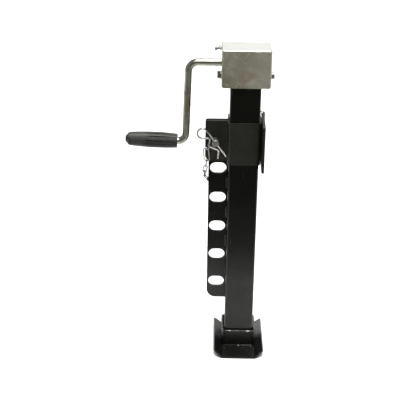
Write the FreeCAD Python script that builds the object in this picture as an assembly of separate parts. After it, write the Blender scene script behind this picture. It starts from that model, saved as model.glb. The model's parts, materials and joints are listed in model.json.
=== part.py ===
import FreeCAD, Part
import math
import os

# Trailer support leg: a square outer leg that hangs in a pinned bracket, and an inner leg with a
# foot that a side crank winds down through a bevel gear pair and a screw.
# Millimetres. X points right, Y away from the viewer, Z up. The origin is the middle of the foot's
# sole under the leg's own axis.

V = FreeCAD.Vector
X, Y, Z = V(1, 0, 0), V(0, 1, 0), V(0, 0, 1)
Placement, Rotation = FreeCAD.Placement, FreeCAD.Rotation

# Clearances
slide_gap = 0.4           # flat faces that slide past each other
shaft_gap = 0.08          # radial play of a shaft or pin in its hole
seat_gap = 0.3            # play of a part that lies loosely against its seat

# Square leg
tube_w = 60.0
tube_wall = 4.0
tube_corner = 6.0
foot_gap = 44.0           # height of the tube's lower end when the leg is wound in
tube_len = 536.0
inner_wall = 3.0
inner_play = 0.5
head_room = 58.0          # from the inner leg's top to the outer tube's top
inner_corner = 3.0

# Slotted plate on the leg's left side
strip_reach = 39.7
strip_t = 5.0
strip_y = -6.5
strip_below = 38.7        # from the lowest slot's middle to the plate's lower end
strip_above = 35.3
strip_corner = 19.0
slot_count = 6
slot_pitch = 64.3
slot_lift = 103.2         # from the tube's lower end to the lowest slot's middle
slot_w = 33.0
slot_h = 23.0
slot_edge = 3.2           # web between a slot's end and the plate's free edge

# Bracket: collar, two pin flanges and a mounting plate
collar_wall = 2.4
collar_gap = 0.35
collar_below = 49.7       # from the top slot's middle to the collar's lower edge
collar_h = 87.5
flange_t = 4.0
flange_reach = 44.2
flange_drop = 2.0         # how far the flanges reach below the collar's lower edge
flange_top_radius = 4.0
flange_low_radius = 13.0
mount_t = 5.0
mount_gap = 2.3
mount_depth = 96.0
mount_below = 11.5        # from the collar's lower edge to the plate's
mount_h = 97.0
mount_corner = 4.0
anchor_hole_r = 3.2
anchor_y = 40.0           # the ring's hole: how far behind the leg's axis
anchor_drop = 24.0        # and how far below the plate's top edge

# Locking pin, spring clip and tether
pin_r = 7.0
pin_inset = 1.2           # how far the pin lies beyond the middle of its slot's rounded end
pin_reach = 20.6          # how far the pin's free end stands out of the front flange
pin_head_r = 11.0
pin_head_t = 5.0
clip_wire = 3.5
clip_inset = 8.0          # from the pin's free end to the clip's plane
clip_lean = 53.2          # degrees by which the clip's straight leg leans down to the right
clip_leg = 35.5
clip_ring_r = 10.1
clip_ring_back = 30.1
clip_ring_end = -35.0     # where the finger ring ends and the spring leg starts, in degrees
clip_bends = (4.5, 4.0, 5.0)
clip_hang = 0.8           # where along its second bend the spring leg carries the small link
hang_drop = 5.4
link_wire = 2.5
link_inner = 15.6
link_gap_w = 4.6
link_play = 0.75
bracket_links = 4         # links that stay with the bracket when the clip is pulled
anchor_wire = 3.0
tether_gap_w = 8.0
tether_out = 17.1         # from the pin's axis to the oval ring's lower end, sideways
tether_drop = 38.93       # and down

# Gear housing on top of the leg
cover_w = 95.0
cover_d = 76.0
cover_drop = 1.8
cover_h = 73.0
cover_t = 2.5
cover_corner = 4.0
cover_low_corner = 5.0
frame_t = 4.0
base_t = 6.0
frame_d = 46.0
frame_h = 60.0
bolt_rise = 14.2          # from the tube's top to the side bolts
bolt_r = 4.0
bolt_flats = 13.0
bolt_head = 6.0
washer_t = 2.0
washer_r = 8.0
nut_t = 6.5
nipple_y = 12.0
nipple_drop = 5.6         # from the cover's top
nipple_tilt = 14.0
nipple_thread_r = 3.0

# Crank
crank_rise = 39.0         # from the tube's top to the crank's shaft
rod_r = 7.0
throw = 162.0
crank_reach = 63.3        # from the cover's side to the crank's arm
crank_lean = 1.9
crank_bend = 19.0
crank_low_bend = 16.0
grip_len = 103.5
grip_r_tip = 13.4
grip_r_mid = 15.8
grip_r_root = 14.2
flute_count = 12
flute_len = 62.0
flute_w = 2.6
flute_deep = 1.3
grip_nose = 7.0
grip_wall = 12.0          # from the crank's end to the grip's nose
groove_deep = 0.6
circlip_t = 1.2
retainer_t = 1.6
retainer_in = 4.0         # from the crank's end to the grip's retainer
bush_flange = 2.0

# Bevel gear pair
module = 2.5
pinion_teeth = 12
gear_teeth = 24
face_width = 11.0
pressure_angle = 20.0
backlash = 0.22
gear_bore_r = 8.0
gear_front = 15.0         # from the cones' common tip to the gear's hub face
pinion_front = 19.0
pinion_pin_r = 2.0
gear_nut_h = 6.0
pinion_hub_r = 11.5
gear_hub_r = 14.0

# Screw and its bearing
screw_r = 11.0
screw_lift = 84.0         # from the tube's lower end to the screw's
journal_r = 10.0
bush_t = 3.0
collar_r = 17.0
collar_t = 8.0
race_t = 3.0
race_r = 17.5
ball_r = 2.6
ball_count = 8
screw_nut_h = 24.0

# Foot
foot_flat_w = 70.8
foot_len = 140.0
foot_shift = 10.5         # how far the sole's middle lies in front of the leg
foot_t = 4.0
lip_run = 17.6
lip_rise = 14.0
foot_chamfer = 8.0
cup_w = 72.0
cup_wall = 4.0
cup_corner = 8.0
cup_top = 41.0
weld = 4.0

# Worked-out sizes
half = tube_w / 2
tube_bottom = foot_gap
tube_top = tube_bottom + tube_len
inner_top = tube_top - head_room
screw_bottom = tube_bottom + screw_lift
foot_front = -foot_shift - foot_len / 2
foot_back = foot_len / 2 - foot_shift
cover_z0 = tube_top - cover_drop
frame_top = tube_top + frame_h
bolt_z = tube_top + bolt_rise
crank_z = tube_top + crank_rise
crank_corner_x = -cover_w / 2 - crank_reach
slot_first_z = tube_bottom + slot_lift
bore_half = half - tube_wall
inner_half = bore_half - inner_play
strip_x = -half - strip_reach
slot_x = strip_x + slot_edge + slot_w / 2
strip_front = strip_y - strip_t / 2
strip_back = strip_y + strip_t / 2
slot_top_z = slot_first_z + (slot_count - 1) * slot_pitch
strip_bottom = slot_first_z - strip_below
strip_top = slot_top_z + strip_above
collar_bottom = slot_top_z - collar_below
collar_in = half + collar_gap
collar_out = collar_in + collar_wall
collar_top = collar_bottom + collar_h
flange_front = strip_front - slide_gap - flange_t
flange_back = strip_back + slide_gap + flange_t
flange_x = -collar_out - flange_reach
flange_z0 = collar_bottom + flange_drop
mount_x = collar_out + mount_gap
mount_z0 = collar_bottom - mount_below
mount_top = mount_z0 + mount_h
slot_end_r = slot_h / 2
pin_x = slot_x - slot_w / 2 + slot_end_r - pin_inset
pin_seat = slot_end_r - pin_r - 0.06
pin_z = slot_top_z - math.sqrt(pin_seat ** 2 - pin_inset ** 2)
pin_end = flange_front - pin_reach
clip_y = pin_end + clip_inset
tether_x = pin_x - tether_out
tether_low = pin_z - tether_drop
base_top = tube_top + base_t
frame_out = cover_w / 2 - cover_t - slide_gap
frame_in = frame_out - frame_t
cover_top = cover_z0 + cover_h
nipple_z = cover_top - nipple_drop
cone_len = module / 2 * math.hypot(pinion_teeth, gear_teeth)
race_in = journal_r + shaft_gap
bearing_h = 2 * race_t + 1.6 * ball_r
collar_z1 = tube_top - bearing_h
cup_half = cup_w / 2
pinion_back = frame_in - bush_flange - seat_gap
pinion_phase = 180.0 / pinion_teeth
gear_hub_back = crank_z - base_top - seat_gap
gear_nut_top = crank_z - gear_front + gear_nut_h
circlip_x = pinion_back - circlip_t
grip_start = crank_low_bend + 0.5
rod_past_bend = grip_start + grip_len - grip_wall
ring_r = (tether_gap_w + link_wire) / 2
anchor_z = mount_top - anchor_drop

out_dir = "parts"
os.makedirs(out_dir, exist_ok=True)


def save(name, *solids):
    shape = solids[0] if len(solids) == 1 else Part.makeCompound(list(solids))
    shape.exportStep(os.path.join(out_dir, name + ".step"))


def block(x0, x1, y0, y1, z0, z1):
    return Part.makeBox(x1 - x0, y1 - y0, z1 - z0, V(x0, y0, z0))


def rod(radius, start, end):
    return Part.makeCylinder(radius, (end - start).Length, start, end - start)


def round_edges(shape, radius, direction):
    """Fillets every straight edge that runs along one direction."""
    picked = [e for e in shape.Edges if is_line(e) and abs(e.tangentAt(0).dot(direction)) > 0.999]
    return shape.makeFillet(radius, picked)


def is_line(edge):
    return isinstance(edge.Curve, (Part.Line, Part.LineSegment))


def square_post(half_x, half_y, z0, z1, corner):
    return round_edges(block(-half_x, half_x, -half_y, half_y, z0, z1), corner, Z)


def rounded_plate(points, radii, origin, u_axis, v_axis, thickness):
    """A flat plate from corner points in its own plane, each corner with its own radius."""
    count = len(points)
    spots = [origin + u_axis * u + v_axis * v for u, v in points]
    edges = []
    previous = None
    first = None
    for i in range(count):
        corner, before, after = spots[i], spots[i - 1], spots[(i + 1) % count]
        radius = radii[i]
        if radius <= 0:
            start = end = corner
        else:
            a = (before - corner).normalize()
            b = (after - corner).normalize()
            turn = math.pi - a.getAngle(b)
            reach = radius * math.tan(turn / 2)
            start, end = corner + a * reach, corner + b * reach
            middle = (a + b).normalize() * (radius / math.cos(turn / 2) - radius) + corner
        if previous is not None and (start - previous).Length > 1e-6:
            edges.append(Part.makeLine(previous, start))
        if first is None:
            first = start
        if radius > 0:
            edges.append(Part.Arc(start, middle, end).toShape())
        previous = end
    if (first - previous).Length > 1e-6:
        edges.append(Part.makeLine(previous, first))
    face = Part.Face(Part.Wire(Part.sortEdges(edges)[0]))
    return face.extrude(u_axis.cross(v_axis).normalize() * thickness)


def obround(length, height, radius, centre, u_axis, v_axis, depth):
    points = [(-length / 2, -height / 2), (length / 2, -height / 2),
              (length / 2, height / 2), (-length / 2, height / 2)]
    shape = rounded_plate(points, [radius] * 4, centre, u_axis, v_axis, depth)
    shape.translate(u_axis.cross(v_axis).normalize() * (-depth / 2))
    return shape


def bent_path(points, radii):
    """Straight runs joined by tangent arcs; radii belong to the inner points."""
    edges = []
    previous = points[0]
    for i in range(1, len(points) - 1):
        corner = points[i]
        a = (points[i - 1] - corner).normalize()
        b = (points[i + 1] - corner).normalize()
        turn = math.pi - a.getAngle(b)
        reach = radii[i - 1] * math.tan(turn / 2)
        start, end = corner + a * reach, corner + b * reach
        middle = corner + (a + b).normalize() * (radii[i - 1] / math.cos(turn / 2) - radii[i - 1])
        edges.append(Part.makeLine(previous, start))
        edges.append(Part.Arc(start, middle, end).toShape())
        previous = end
    edges.append(Part.makeLine(previous, points[-1]))
    return Part.Wire(edges)


def wire_along(path, radius):
    """Round bar along straight runs and arcs: cylinders and true ring pieces, fused."""
    pieces = []
    for edge in path.Edges:
        start = edge.valueAt(edge.FirstParameter)
        end = edge.valueAt(edge.LastParameter)
        if is_line(edge):
            pieces.append(rod(radius, start, end))
            continue
        circle = edge.Curve
        disc = Part.Face(Part.Wire(Part.makeCircle(radius, start, edge.tangentAt(edge.FirstParameter))))
        swing = math.degrees(edge.LastParameter - edge.FirstParameter)
        pieces.append(disc.revolve(circle.Center, circle.Axis, swing))
    return solid_of(pieces[0].multiFuse(pieces[1:]).removeSplitter())


def hex_prism(flats, start, axis, height, side_dir):
    corner = flats / math.sqrt(3)
    other = axis.cross(side_dir)
    spots = []
    for i in range(6):
        angle = math.radians(60 * i)
        spots.append(start + side_dir * (corner * math.cos(angle)) + other * (corner * math.sin(angle)))
    return Part.Face(Part.makePolygon(spots + spots[:1])).extrude(axis * height)


def fillet_bead(start, end, leg_a, leg_b):
    """A weld bead: two legs that lie on the joined faces and a slightly hollow front."""
    a, b = start + leg_a, start + leg_b
    sag = start + (leg_a + leg_b) * 0.42
    outline = [Part.makeLine(start, a), Part.Arc(a, sag, b).toShape(), Part.makeLine(b, start)]
    return Part.Face(Part.Wire(outline)).extrude(end - start)


def ring_bead(half_out, corner, z, drop, grow):
    """A weld bead round a square post: grow is how far it spreads, drop how far it climbs."""
    wide = square_post(half_out + grow, half_out + grow, min(z, z + drop), max(z, z + drop),
                       corner + grow)
    edges = [e for e in wide.Edges if abs(e.BoundBox.ZMin - (z + drop)) < 1e-6
             and abs(e.BoundBox.ZMax - (z + drop)) < 1e-6]
    wide = wide.makeChamfer(min(abs(drop), grow) * 0.98, edges)
    return wide.cut(square_post(half_out, half_out, z - abs(drop) - 1, z + abs(drop) + 1, corner))


def outer_tube():
    outer = square_post(half, half, tube_bottom, tube_top, tube_corner)
    inner_radius = max(tube_corner - tube_wall, 0.5)
    return outer.cut(square_post(bore_half, bore_half, tube_bottom - 1, tube_top + 1, inner_radius))


def slotted_plate():
    origin = V(0, strip_back, 0)
    points = [(strip_x, strip_bottom), (-half, strip_bottom), (-half, strip_top), (strip_x, strip_top)]
    plate = rounded_plate(points, [strip_corner, 0, 0, strip_corner], origin, X, Z, strip_t)
    for i in range(slot_count):
        centre = V(slot_x, strip_y, slot_first_z + i * slot_pitch)
        plate = plate.cut(obround(slot_w, slot_h, slot_end_r - 0.01, centre, X, Z, strip_t + 2))
    return plate


def plate_welds():
    """Short stitch welds between the slotted plate and the leg, on both faces of the plate."""
    beads = []
    for i in range(slot_count - 1):
        middle = slot_first_z + (i + 0.5) * slot_pitch
        if middle + slot_h / 2 > collar_bottom - 25:
            continue
        for face_y, out in ((strip_front, -1), (strip_back, 1)):
            start = V(-half, face_y, middle - 12)
            beads.append(fillet_bead(start, start + Z * 24, V(-weld, 0, 0), V(0, out * weld, 0)))
    return beads


def gearbox_frame():
    """U-shaped carrier: a base on top of the leg and two cheeks that hold the crank's bushes."""
    frame = block(-frame_out, frame_out, -frame_d / 2, frame_d / 2, tube_top, frame_top)
    frame = frame.cut(block(-frame_in, frame_in, -frame_d, frame_d, base_top, frame_top + 1))
    tops = [e for e in frame.Edges if is_line(e) and abs(e.tangentAt(0).x) > 0.999
            and e.BoundBox.ZMin > frame_top - 1e-6]
    frame = frame.makeFillet(10, tops)
    wide = block(-half - 6, half + 6, -cover_d / 2 + cover_t + slide_gap,
                 cover_d / 2 - cover_t - slide_gap, tube_top, base_top)
    frame = frame.fuse(wide).removeSplitter()
    frame = frame.cut(rod(journal_r + bush_t, V(0, 0, tube_top - 1), V(0, 0, base_top + 1)))
    frame = frame.cut(rod(rod_r + bush_t, V(-cover_w, 0, crank_z), V(cover_w, 0, crank_z)))
    return frame.cut(rod(bolt_r + 0.25, V(-cover_w, 0, bolt_z), V(cover_w, 0, bolt_z)))


def gearbox_cover():
    bottom_out = cover_z0
    shell = block(-cover_w / 2, cover_w / 2, -cover_d / 2, cover_d / 2, bottom_out, cover_top)
    shell = round_edges(shell, cover_corner, Z)
    top = [e for e in shell.Edges if e.BoundBox.ZMin > cover_top - 1e-6]
    shell = shell.makeFillet(cover_corner * 0.6, top)
    points = [(-cover_w / 2, bottom_out), (cover_w / 2, bottom_out),
              (cover_w / 2, cover_top + 1), (-cover_w / 2, cover_top + 1)]
    radii = [cover_low_corner, cover_low_corner, 0, 0]
    outline = rounded_plate(points, radii, V(0, cover_d, 0), X, Z, cover_d * 2)
    shell = shell.common(outline)
    room = block(-cover_w / 2 + cover_t, cover_w / 2 - cover_t, -cover_d / 2 + cover_t,
                 cover_d / 2 - cover_t, bottom_out - 1, cover_top - cover_t)
    shell = shell.cut(round_edges(room, cover_corner - cover_t + 0.5, Z))
    shell = shell.cut(rod(rod_r + 1.2, V(-cover_w, 0, crank_z), V(0, 0, crank_z)))
    shell = shell.cut(rod(bolt_r + 0.25, V(-cover_w, 0, bolt_z), V(cover_w, 0, bolt_z)))
    start, axis = nipple_axis()
    return shell.cut(rod(nipple_thread_r, start - axis * cover_t * 2, start + axis * 6))


def nipple_axis():
    axis = V(-math.cos(math.radians(nipple_tilt)), 0, -math.sin(math.radians(nipple_tilt)))
    return V(-cover_w / 2, nipple_y, nipple_z), axis


def grease_nipple():
    """Hexagon, neck and ball head on a short thread, leaning as it stands in the cover."""
    start, axis = nipple_axis()
    side = axis.cross(Y).normalize()
    seat = start + axis * (nipple_thread_r + 1) * math.tan(math.radians(nipple_tilt))
    body = hex_prism(8.0, seat, axis, 4.0, Y)
    body = body.fuse(rod(nipple_thread_r - 0.05, seat - axis * 4.2, seat))
    profile = [(0, 4.0), (3.0, 4.0), (2.0, 6.5), (2.0, 8.0), (3.3, 9.6), (3.3, 11.4), (2.4, 13.0),
               (1.2, 13.4), (0, 13.4)]
    spots = [seat + side * r + axis * h for r, h in profile]
    head = Part.Face(Part.makePolygon(spots + spots[:1])).revolve(seat, axis, 360)
    return body.fuse(head).removeSplitter()


def side_bolts():
    bolts = []
    for side in (-1, 1):
        out = X * side
        seat = V(side * (cover_w / 2 + washer_t), 0, bolt_z)
        head = hex_prism(bolt_flats, seat, out, bolt_head, Z)
        crown = Part.makeCone(bolt_flats * 0.72, bolt_flats * 0.42, bolt_flats * 0.3,
                              seat + out * (bolt_head - bolt_flats * 0.17), out)
        trim = rod(bolt_flats, seat, seat + out * (bolt_head - bolt_flats * 0.17))
        head = head.common(trim.fuse(crown))
        inner = V(side * (frame_in - nut_t - 2), 0, bolt_z)
        bolts.append(head.fuse(rod(bolt_r, inner, seat)).removeSplitter())
    return bolts


def side_washers():
    rings = []
    for side in (-1, 1):
        inner, outer = V(side * cover_w / 2, 0, bolt_z), V(side * (cover_w / 2 + washer_t), 0, bolt_z)
        rings.append(rod(washer_r, inner, outer).cut(rod(bolt_r + 0.2, inner - X * side, outer + X * side)))
    return rings


def weld_nuts():
    nuts = []
    for side in (-1, 1):
        face = V(side * frame_in, 0, bolt_z)
        nut = hex_prism(bolt_flats, face, X * -side, nut_t, Z)
        nuts.append(nut.cut(rod(bolt_r + 0.05, face + X * side, face - X * side * (nut_t + 1))))
    return nuts


def shaft_bush(side):
    """Flanged bush pressed into one cheek; its flange faces the inside of the housing."""
    outer, inner = V(side * frame_out, 0, crank_z), V(side * frame_in, 0, crank_z)
    flange_end = inner - X * side * bush_flange
    bush = rod(rod_r + bush_t, outer, inner).fuse(rod(rod_r + bush_t + 2.5, inner, flange_end))
    return bush.cut(rod(rod_r + shaft_gap, outer + X * side, flange_end - X * side)).removeSplitter()


def screw_bush():
    bush = rod(journal_r + bush_t, V(0, 0, tube_top), V(0, 0, base_top))
    return bush.cut(rod(journal_r + shaft_gap, V(0, 0, tube_top - 1), V(0, 0, base_top + 1)))


def drive_screw():
    """One turned shaft: screw, thrust collar, journal and the seat of the bevel gear."""
    screw = rod(screw_r, V(0, 0, screw_bottom), V(0, 0, collar_z1))
    low = [e for e in screw.Edges if e.BoundBox.ZMax < screw_bottom + 0.01]
    screw = screw.makeChamfer(2.0, low)
    screw = screw.fuse(rod(collar_r, V(0, 0, collar_z1 - collar_t), V(0, 0, collar_z1)))
    screw = screw.fuse(rod(journal_r, V(0, 0, collar_z1), V(0, 0, base_top + seat_gap)))
    screw = screw.fuse(rod(gear_bore_r - 0.02, V(0, 0, base_top), V(0, 0, gear_nut_top + 0.8)))
    return screw.removeSplitter()


def bearing_race(z0):
    race = rod(race_r, V(0, 0, z0), V(0, 0, z0 + race_t))
    return race.cut(rod(race_in, V(0, 0, z0 - 1), V(0, 0, z0 + race_t + 1)))


def bearing_balls():
    middle = collar_z1 + bearing_h / 2
    track = (race_in + race_r) / 2
    cage = rod(race_r - 0.8, V(0, 0, middle - 0.8), V(0, 0, middle + 0.8))
    cage = cage.cut(rod(race_in + 0.4, V(0, 0, middle - 2), V(0, 0, middle + 2)))
    balls = []
    flat = bearing_h / 2 - race_t
    for i in range(ball_count):
        angle = 2 * math.pi * i / ball_count
        centre = V(track * math.cos(angle), track * math.sin(angle), middle)
        ball = Part.makeSphere(ball_r, centre)
        ball = ball.common(block(-race_r, race_r, -race_r, race_r, middle - flat, middle + flat))
        balls.append(ball)
    return cage, balls


def bearing_row():
    cage, balls = bearing_balls()
    for ball in balls:
        cage = cage.fuse(ball)
    return cage.removeSplitter()


def bevel_gear(teeth, mate_teeth, bore_r, hub_r, hub_back, front_z):
    """Straight bevel gear with its cone's tip at the origin and its axis along +Z.

    Tooth flanks are involutes on the back cone, drawn towards the tip, so every flank is a ruled
    face through the tip. hub_back and front_z are distances from the tip along the axis."""
    cone = math.atan2(teeth, mate_teeth)
    sine, cosine = math.sin(cone), math.cos(cone)
    virtual_r = module * teeth / 2 / cosine
    tip_r = virtual_r + 0.8 * module
    root_r = virtual_r - 1.1 * module
    base_r = virtual_r * math.cos(math.radians(pressure_angle))
    small = (cone_len - face_width) / cone_len

    def on_back_cone(radius, angle):
        turn = angle / cosine
        flat = radius * cosine
        return V(flat * math.cos(turn), flat * math.sin(turn), cone_len / cosine - radius * sine)

    def half_space(radius):
        at_pitch = math.pi * module / (2 * virtual_r) / 2 + backlash / (4 * virtual_r)
        involute = lambda r: math.tan(math.acos(base_r / r)) - math.acos(base_r / r)
        reach = max(radius, base_r)
        return at_pitch - involute(virtual_r) + involute(reach)

    stations = [root_r, max(root_r + 0.3, base_r), (base_r + virtual_r) / 2, virtual_r,
                (virtual_r + tip_r) / 2, tip_r + 0.6]
    right = [on_back_cone(r, half_space(r)) for r in stations]
    left = [on_back_cone(r, -half_space(r)) for r in reversed(stations)]
    outline = right + left

    def cutter():
        near = [p * (small * 0.8) for p in outline]
        far = [p * 1.25 for p in outline]
        faces = []
        count = len(outline)
        for i in range(count):
            j = (i + 1) % count
            faces.append(Part.Face(Part.makePolygon([near[i], near[j], far[j], far[i], near[i]])))
        for ends in (near, far):
            middle = V(0, 0, 0)
            for p in ends:
                middle = middle + p
            middle = middle * (1.0 / count)
            for i in range(count):
                j = (i + 1) % count
                faces.append(Part.Face(Part.makePolygon([middle, ends[i], ends[j], middle])))
        solid = Part.Solid(Part.Shell(faces))
        solid.fixTolerance(1e-6)
        return solid if solid.Volume > 0 else solid.reversed()

    def spot(radius, scale):
        p = on_back_cone(radius, 0)
        return V(p.x * scale, 0, p.z * scale)

    tip_far, tip_near = spot(tip_r, 1), spot(tip_r, small)
    rim_far, rim_near = spot(root_r - 2.6, 1), spot(root_r - 0.5, small)
    profile = [V(bore_r, 0, front_z), V(min(hub_r, rim_near.x - 0.2), 0, front_z), rim_near, tip_near,
               tip_far, rim_far]
    if hub_back > rim_far.z:
        profile += [V(hub_r, 0, max(rim_far.z, front_z + 1)), V(hub_r, 0, hub_back)]
    profile += [V(bore_r, 0, hub_back)]
    blank = Part.Face(Part.makePolygon(profile + profile[:1])).revolve(V(0, 0, 0), Z, 360)
    tool = cutter()
    spaces = []
    for i in range(teeth):
        copy = tool.copy()
        copy.rotate(V(0, 0, 0), Z, 360.0 * i / teeth)
        spaces.append(copy)
    return blank.cut(Part.makeCompound(spaces))


def driven_gear():
    gear = bevel_gear(gear_teeth, pinion_teeth, gear_bore_r, gear_hub_r, gear_hub_back, gear_front)
    gear.Placement = Placement(V(0, 0, crank_z), Rotation(X, 180))
    return solid_of(gear)


def drive_pinion():
    """The pinion's tooth space faces the gear's tooth where the two meet."""
    pinion = bevel_gear(pinion_teeth, gear_teeth, rod_r + 0.02, pinion_hub_r, pinion_back, pinion_front)
    turn = Rotation(Y, -90).multiply(Rotation(Z, pinion_phase))
    pinion.Placement = Placement(V(0, 0, crank_z), turn)
    hole = pin_hole(pinion_pin_r + 0.02)
    return solid_of(pinion.cut(hole))


def pin_hole(radius):
    at = 3.4 - pinion_back
    return rod(radius, V(at, 0, crank_z - pinion_hub_r), V(at, 0, crank_z + pinion_hub_r))


def solid_of(shape):
    found = max(shape.Solids, key=lambda s: s.Volume)
    return found


def gear_nut():
    z0 = crank_z - gear_front
    nut = hex_prism(19.0, V(0, 0, z0), Z, gear_nut_top - z0, X)
    return nut.cut(rod(gear_bore_r, V(0, 0, z0 - 1), V(0, 0, gear_nut_top + 1)))


def crank_points():
    lean = math.radians(crank_lean)
    down = V(-math.sin(lean), 0, -math.cos(lean))
    along = V(-math.cos(lean), 0, math.sin(lean))
    top = V(crank_corner_x, 0, crank_z)
    low = top + down * throw
    return top, low, down, along


def crank_handle():
    top, low, down, along = crank_points()
    points = [V(frame_out, 0, crank_z), top, low, low + along * rod_past_bend]
    bar = wire_along(bent_path(points, [crank_bend, crank_low_bend]), rod_r)
    groove = rod(rod_r + 1, V(circlip_x, 0, crank_z), V(circlip_x + circlip_t, 0, crank_z))
    groove = groove.cut(rod(rod_r - groove_deep, V(circlip_x - 1, 0, crank_z), V(circlip_x + 3, 0, crank_z)))
    end = points[-1]
    neck = rod(rod_r + 1, end - along * retainer_in, end - along * (retainer_in - retainer_t))
    neck = neck.cut(rod(rod_r - groove_deep, end - along * (retainer_in + 2), end + along))
    return solid_of(bar.cut(groove).cut(neck).cut(pin_hole(pinion_pin_r + 0.02)))


def shaft_circlip():
    start = V(circlip_x, 0, crank_z)
    ring = rod(rod_r + 2.4, start, start + X * circlip_t)
    ring = ring.cut(rod(rod_r - groove_deep, start - X, start + X * 3))
    return ring.cut(block(circlip_x - 1, circlip_x + 3, -2.5, 2.5, crank_z - 12, crank_z))


def grip_retainer():
    top, low, down, along = crank_points()
    start = low + along * (rod_past_bend - retainer_in)
    ring = rod(rod_r + 3.0, start, start + along * retainer_t)
    return ring.cut(rod(rod_r - groove_deep, start - along, start + along * 3))


def hand_grip():
    """Barrel-shaped grip with a blunt nose, long flutes and a pocket for its retainer."""
    top, low, down, along = crank_points()
    root = low + along * grip_start
    side = V(along.z, 0, -along.x)

    def spot(forward, out):
        return root + along * forward + side * out

    belly = spot(grip_len * 0.45, grip_r_mid)
    shoulder = spot(grip_len - grip_nose, grip_r_tip)
    outline = [Part.makeLine(root, spot(0, grip_r_root - 1)),
               Part.makeLine(spot(0, grip_r_root - 1), spot(1, grip_r_root)),
               Part.Arc(spot(1, grip_r_root), belly, shoulder).toShape(),
               Part.makeLine(shoulder, spot(grip_len, grip_r_tip * 0.42)),
               Part.makeLine(spot(grip_len, grip_r_tip * 0.42), spot(grip_len, 0)),
               Part.makeLine(spot(grip_len, 0), root)]
    body = Part.Face(Part.Wire(outline)).revolve(root, along, 360)
    rod_end = root + along * (grip_len - grip_wall)
    body = body.cut(rod(rod_r + shaft_gap, root - along, rod_end + along))
    pocket = rod_end - along * (retainer_in + seat_gap)
    body = body.cut(rod(rod_r + 3.0 + seat_gap, pocket, rod_end + along))
    floor = grip_r_mid - flute_deep
    for i in range(flute_count):
        flute = block(-2, flute_len, -flute_w / 2, flute_w / 2, floor, floor + 6)
        flute = flute.fuse(rod(flute_w / 2, V(flute_len, 0, floor), V(flute_len, 0, floor + 6)))
        flute.Placement = Placement(root, Rotation(along, Y * -1, side, "XYZ"))
        flute.rotate(root, along, 360.0 * (i + 0.35) / flute_count)
        body = body.cut(flute)
    return solid_of(body)


def inner_tube():
    corner = max(inner_corner, 0.6)
    outer = square_post(inner_half, inner_half, foot_t, inner_top, corner)
    room = inner_half - inner_wall
    return outer.cut(square_post(room, room, foot_t - 1, inner_top + 1, max(corner - inner_wall, 0.5)))


def screw_nut():
    """Square nut welded into the top of the inner leg."""
    room = inner_half - inner_wall
    nut = square_post(room, room, inner_top - screw_nut_h, inner_top, max(inner_corner - inner_wall, 0.5))
    return nut.cut(rod(screw_r + shaft_gap, V(0, 0, inner_top - screw_nut_h - 1), V(0, 0, inner_top + 1)))


def foot_plate():
    """Pressed sole: a flat middle and two lips that rise to the sides, with cut front corners."""
    flat = foot_flat_w / 2
    rise = math.hypot(lip_run, lip_rise)
    tangent = V(lip_run / rise, 0, lip_rise / rise)
    normal = V(-tangent.z, 0, tangent.x)
    bend = foot_t * math.tan(math.atan2(lip_rise, lip_run) / 2)
    low = [V(-flat, 0, 0), V(flat, 0, 0), V(flat + lip_run, 0, lip_rise)]
    top_right = V(flat + lip_run, 0, lip_rise) + normal * foot_t
    mirror = lambda p: V(-p.x, 0, p.z)
    corners = [mirror(low[2]), low[0], low[1], low[2], top_right, V(flat - bend, 0, foot_t),
               V(-flat + bend, 0, foot_t), mirror(top_right)]
    section = Part.Face(Part.makePolygon([c + Y * foot_front for c in corners + corners[:1]]))
    plate = section.extrude(Y * (foot_back - foot_front))
    bends = [e for e in plate.Edges if is_line(e) and abs(e.tangentAt(0).y) > 0.99
             and abs(abs(e.BoundBox.XMin) - flat) < bend + 0.1 and e.BoundBox.ZMax < foot_t + 0.1]
    plate = plate.makeFillet(foot_t * 0.9, bends)
    reach = flat + lip_run + 2
    cut_in = flat + lip_run - 1.0
    points = [(-flat, foot_front), (flat, foot_front), (cut_in, foot_front + foot_chamfer),
              (reach, foot_front + foot_chamfer + 5), (reach, foot_back), (-reach, foot_back),
              (-reach, foot_front + foot_chamfer + 5), (-cut_in, foot_front + foot_chamfer)]
    radii = [12, 12, 7, 2, 0, 0, 2, 7]
    outline = rounded_plate(points, radii, V(0, 0, -5), X, Y, 40)
    return solid_of(plate.common(outline))


def foot_cup():
    outer = square_post(cup_half, cup_half, foot_t, cup_top, cup_corner)
    room = cup_half - cup_wall
    cup = outer.cut(square_post(room, room, foot_t - 1, cup_top + 1, cup_corner - cup_wall))
    rims = [e for e in cup.Edges if e.BoundBox.ZMin > cup_top - 1e-6]
    return solid_of(cup.makeFillet(1.0, rims).cut(foot_plate()))


def foot_welds():
    outside = ring_bead(cup_half, cup_corner, foot_t, weld * 0.8, weld * 0.7)
    flat = foot_flat_w / 2 - foot_t * 0.9
    outside = outside.common(block(-flat, flat, -cup_w, cup_w, 0, cup_top))
    inside = ring_bead(inner_half, inner_corner, foot_t, weld * 0.8, weld * 0.8)
    return [s for s in outside.Solids] + [solid_of(inside)]


def collar_sleeve():
    """Sheet collar that wraps the leg; its left wall is open where the slotted plate passes."""
    sleeve = square_post(collar_out, collar_out, collar_bottom, collar_top, tube_corner + collar_wall)
    sleeve = sleeve.cut(square_post(collar_in, collar_in, collar_bottom - 1, collar_top + 1,
                                    tube_corner + collar_gap))
    slit = block(-collar_out - 1, -half + 5, flange_front + flange_t, flange_back - flange_t,
                 collar_bottom - 1, collar_top + 1)
    return solid_of(sleeve.cut(slit))


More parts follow.
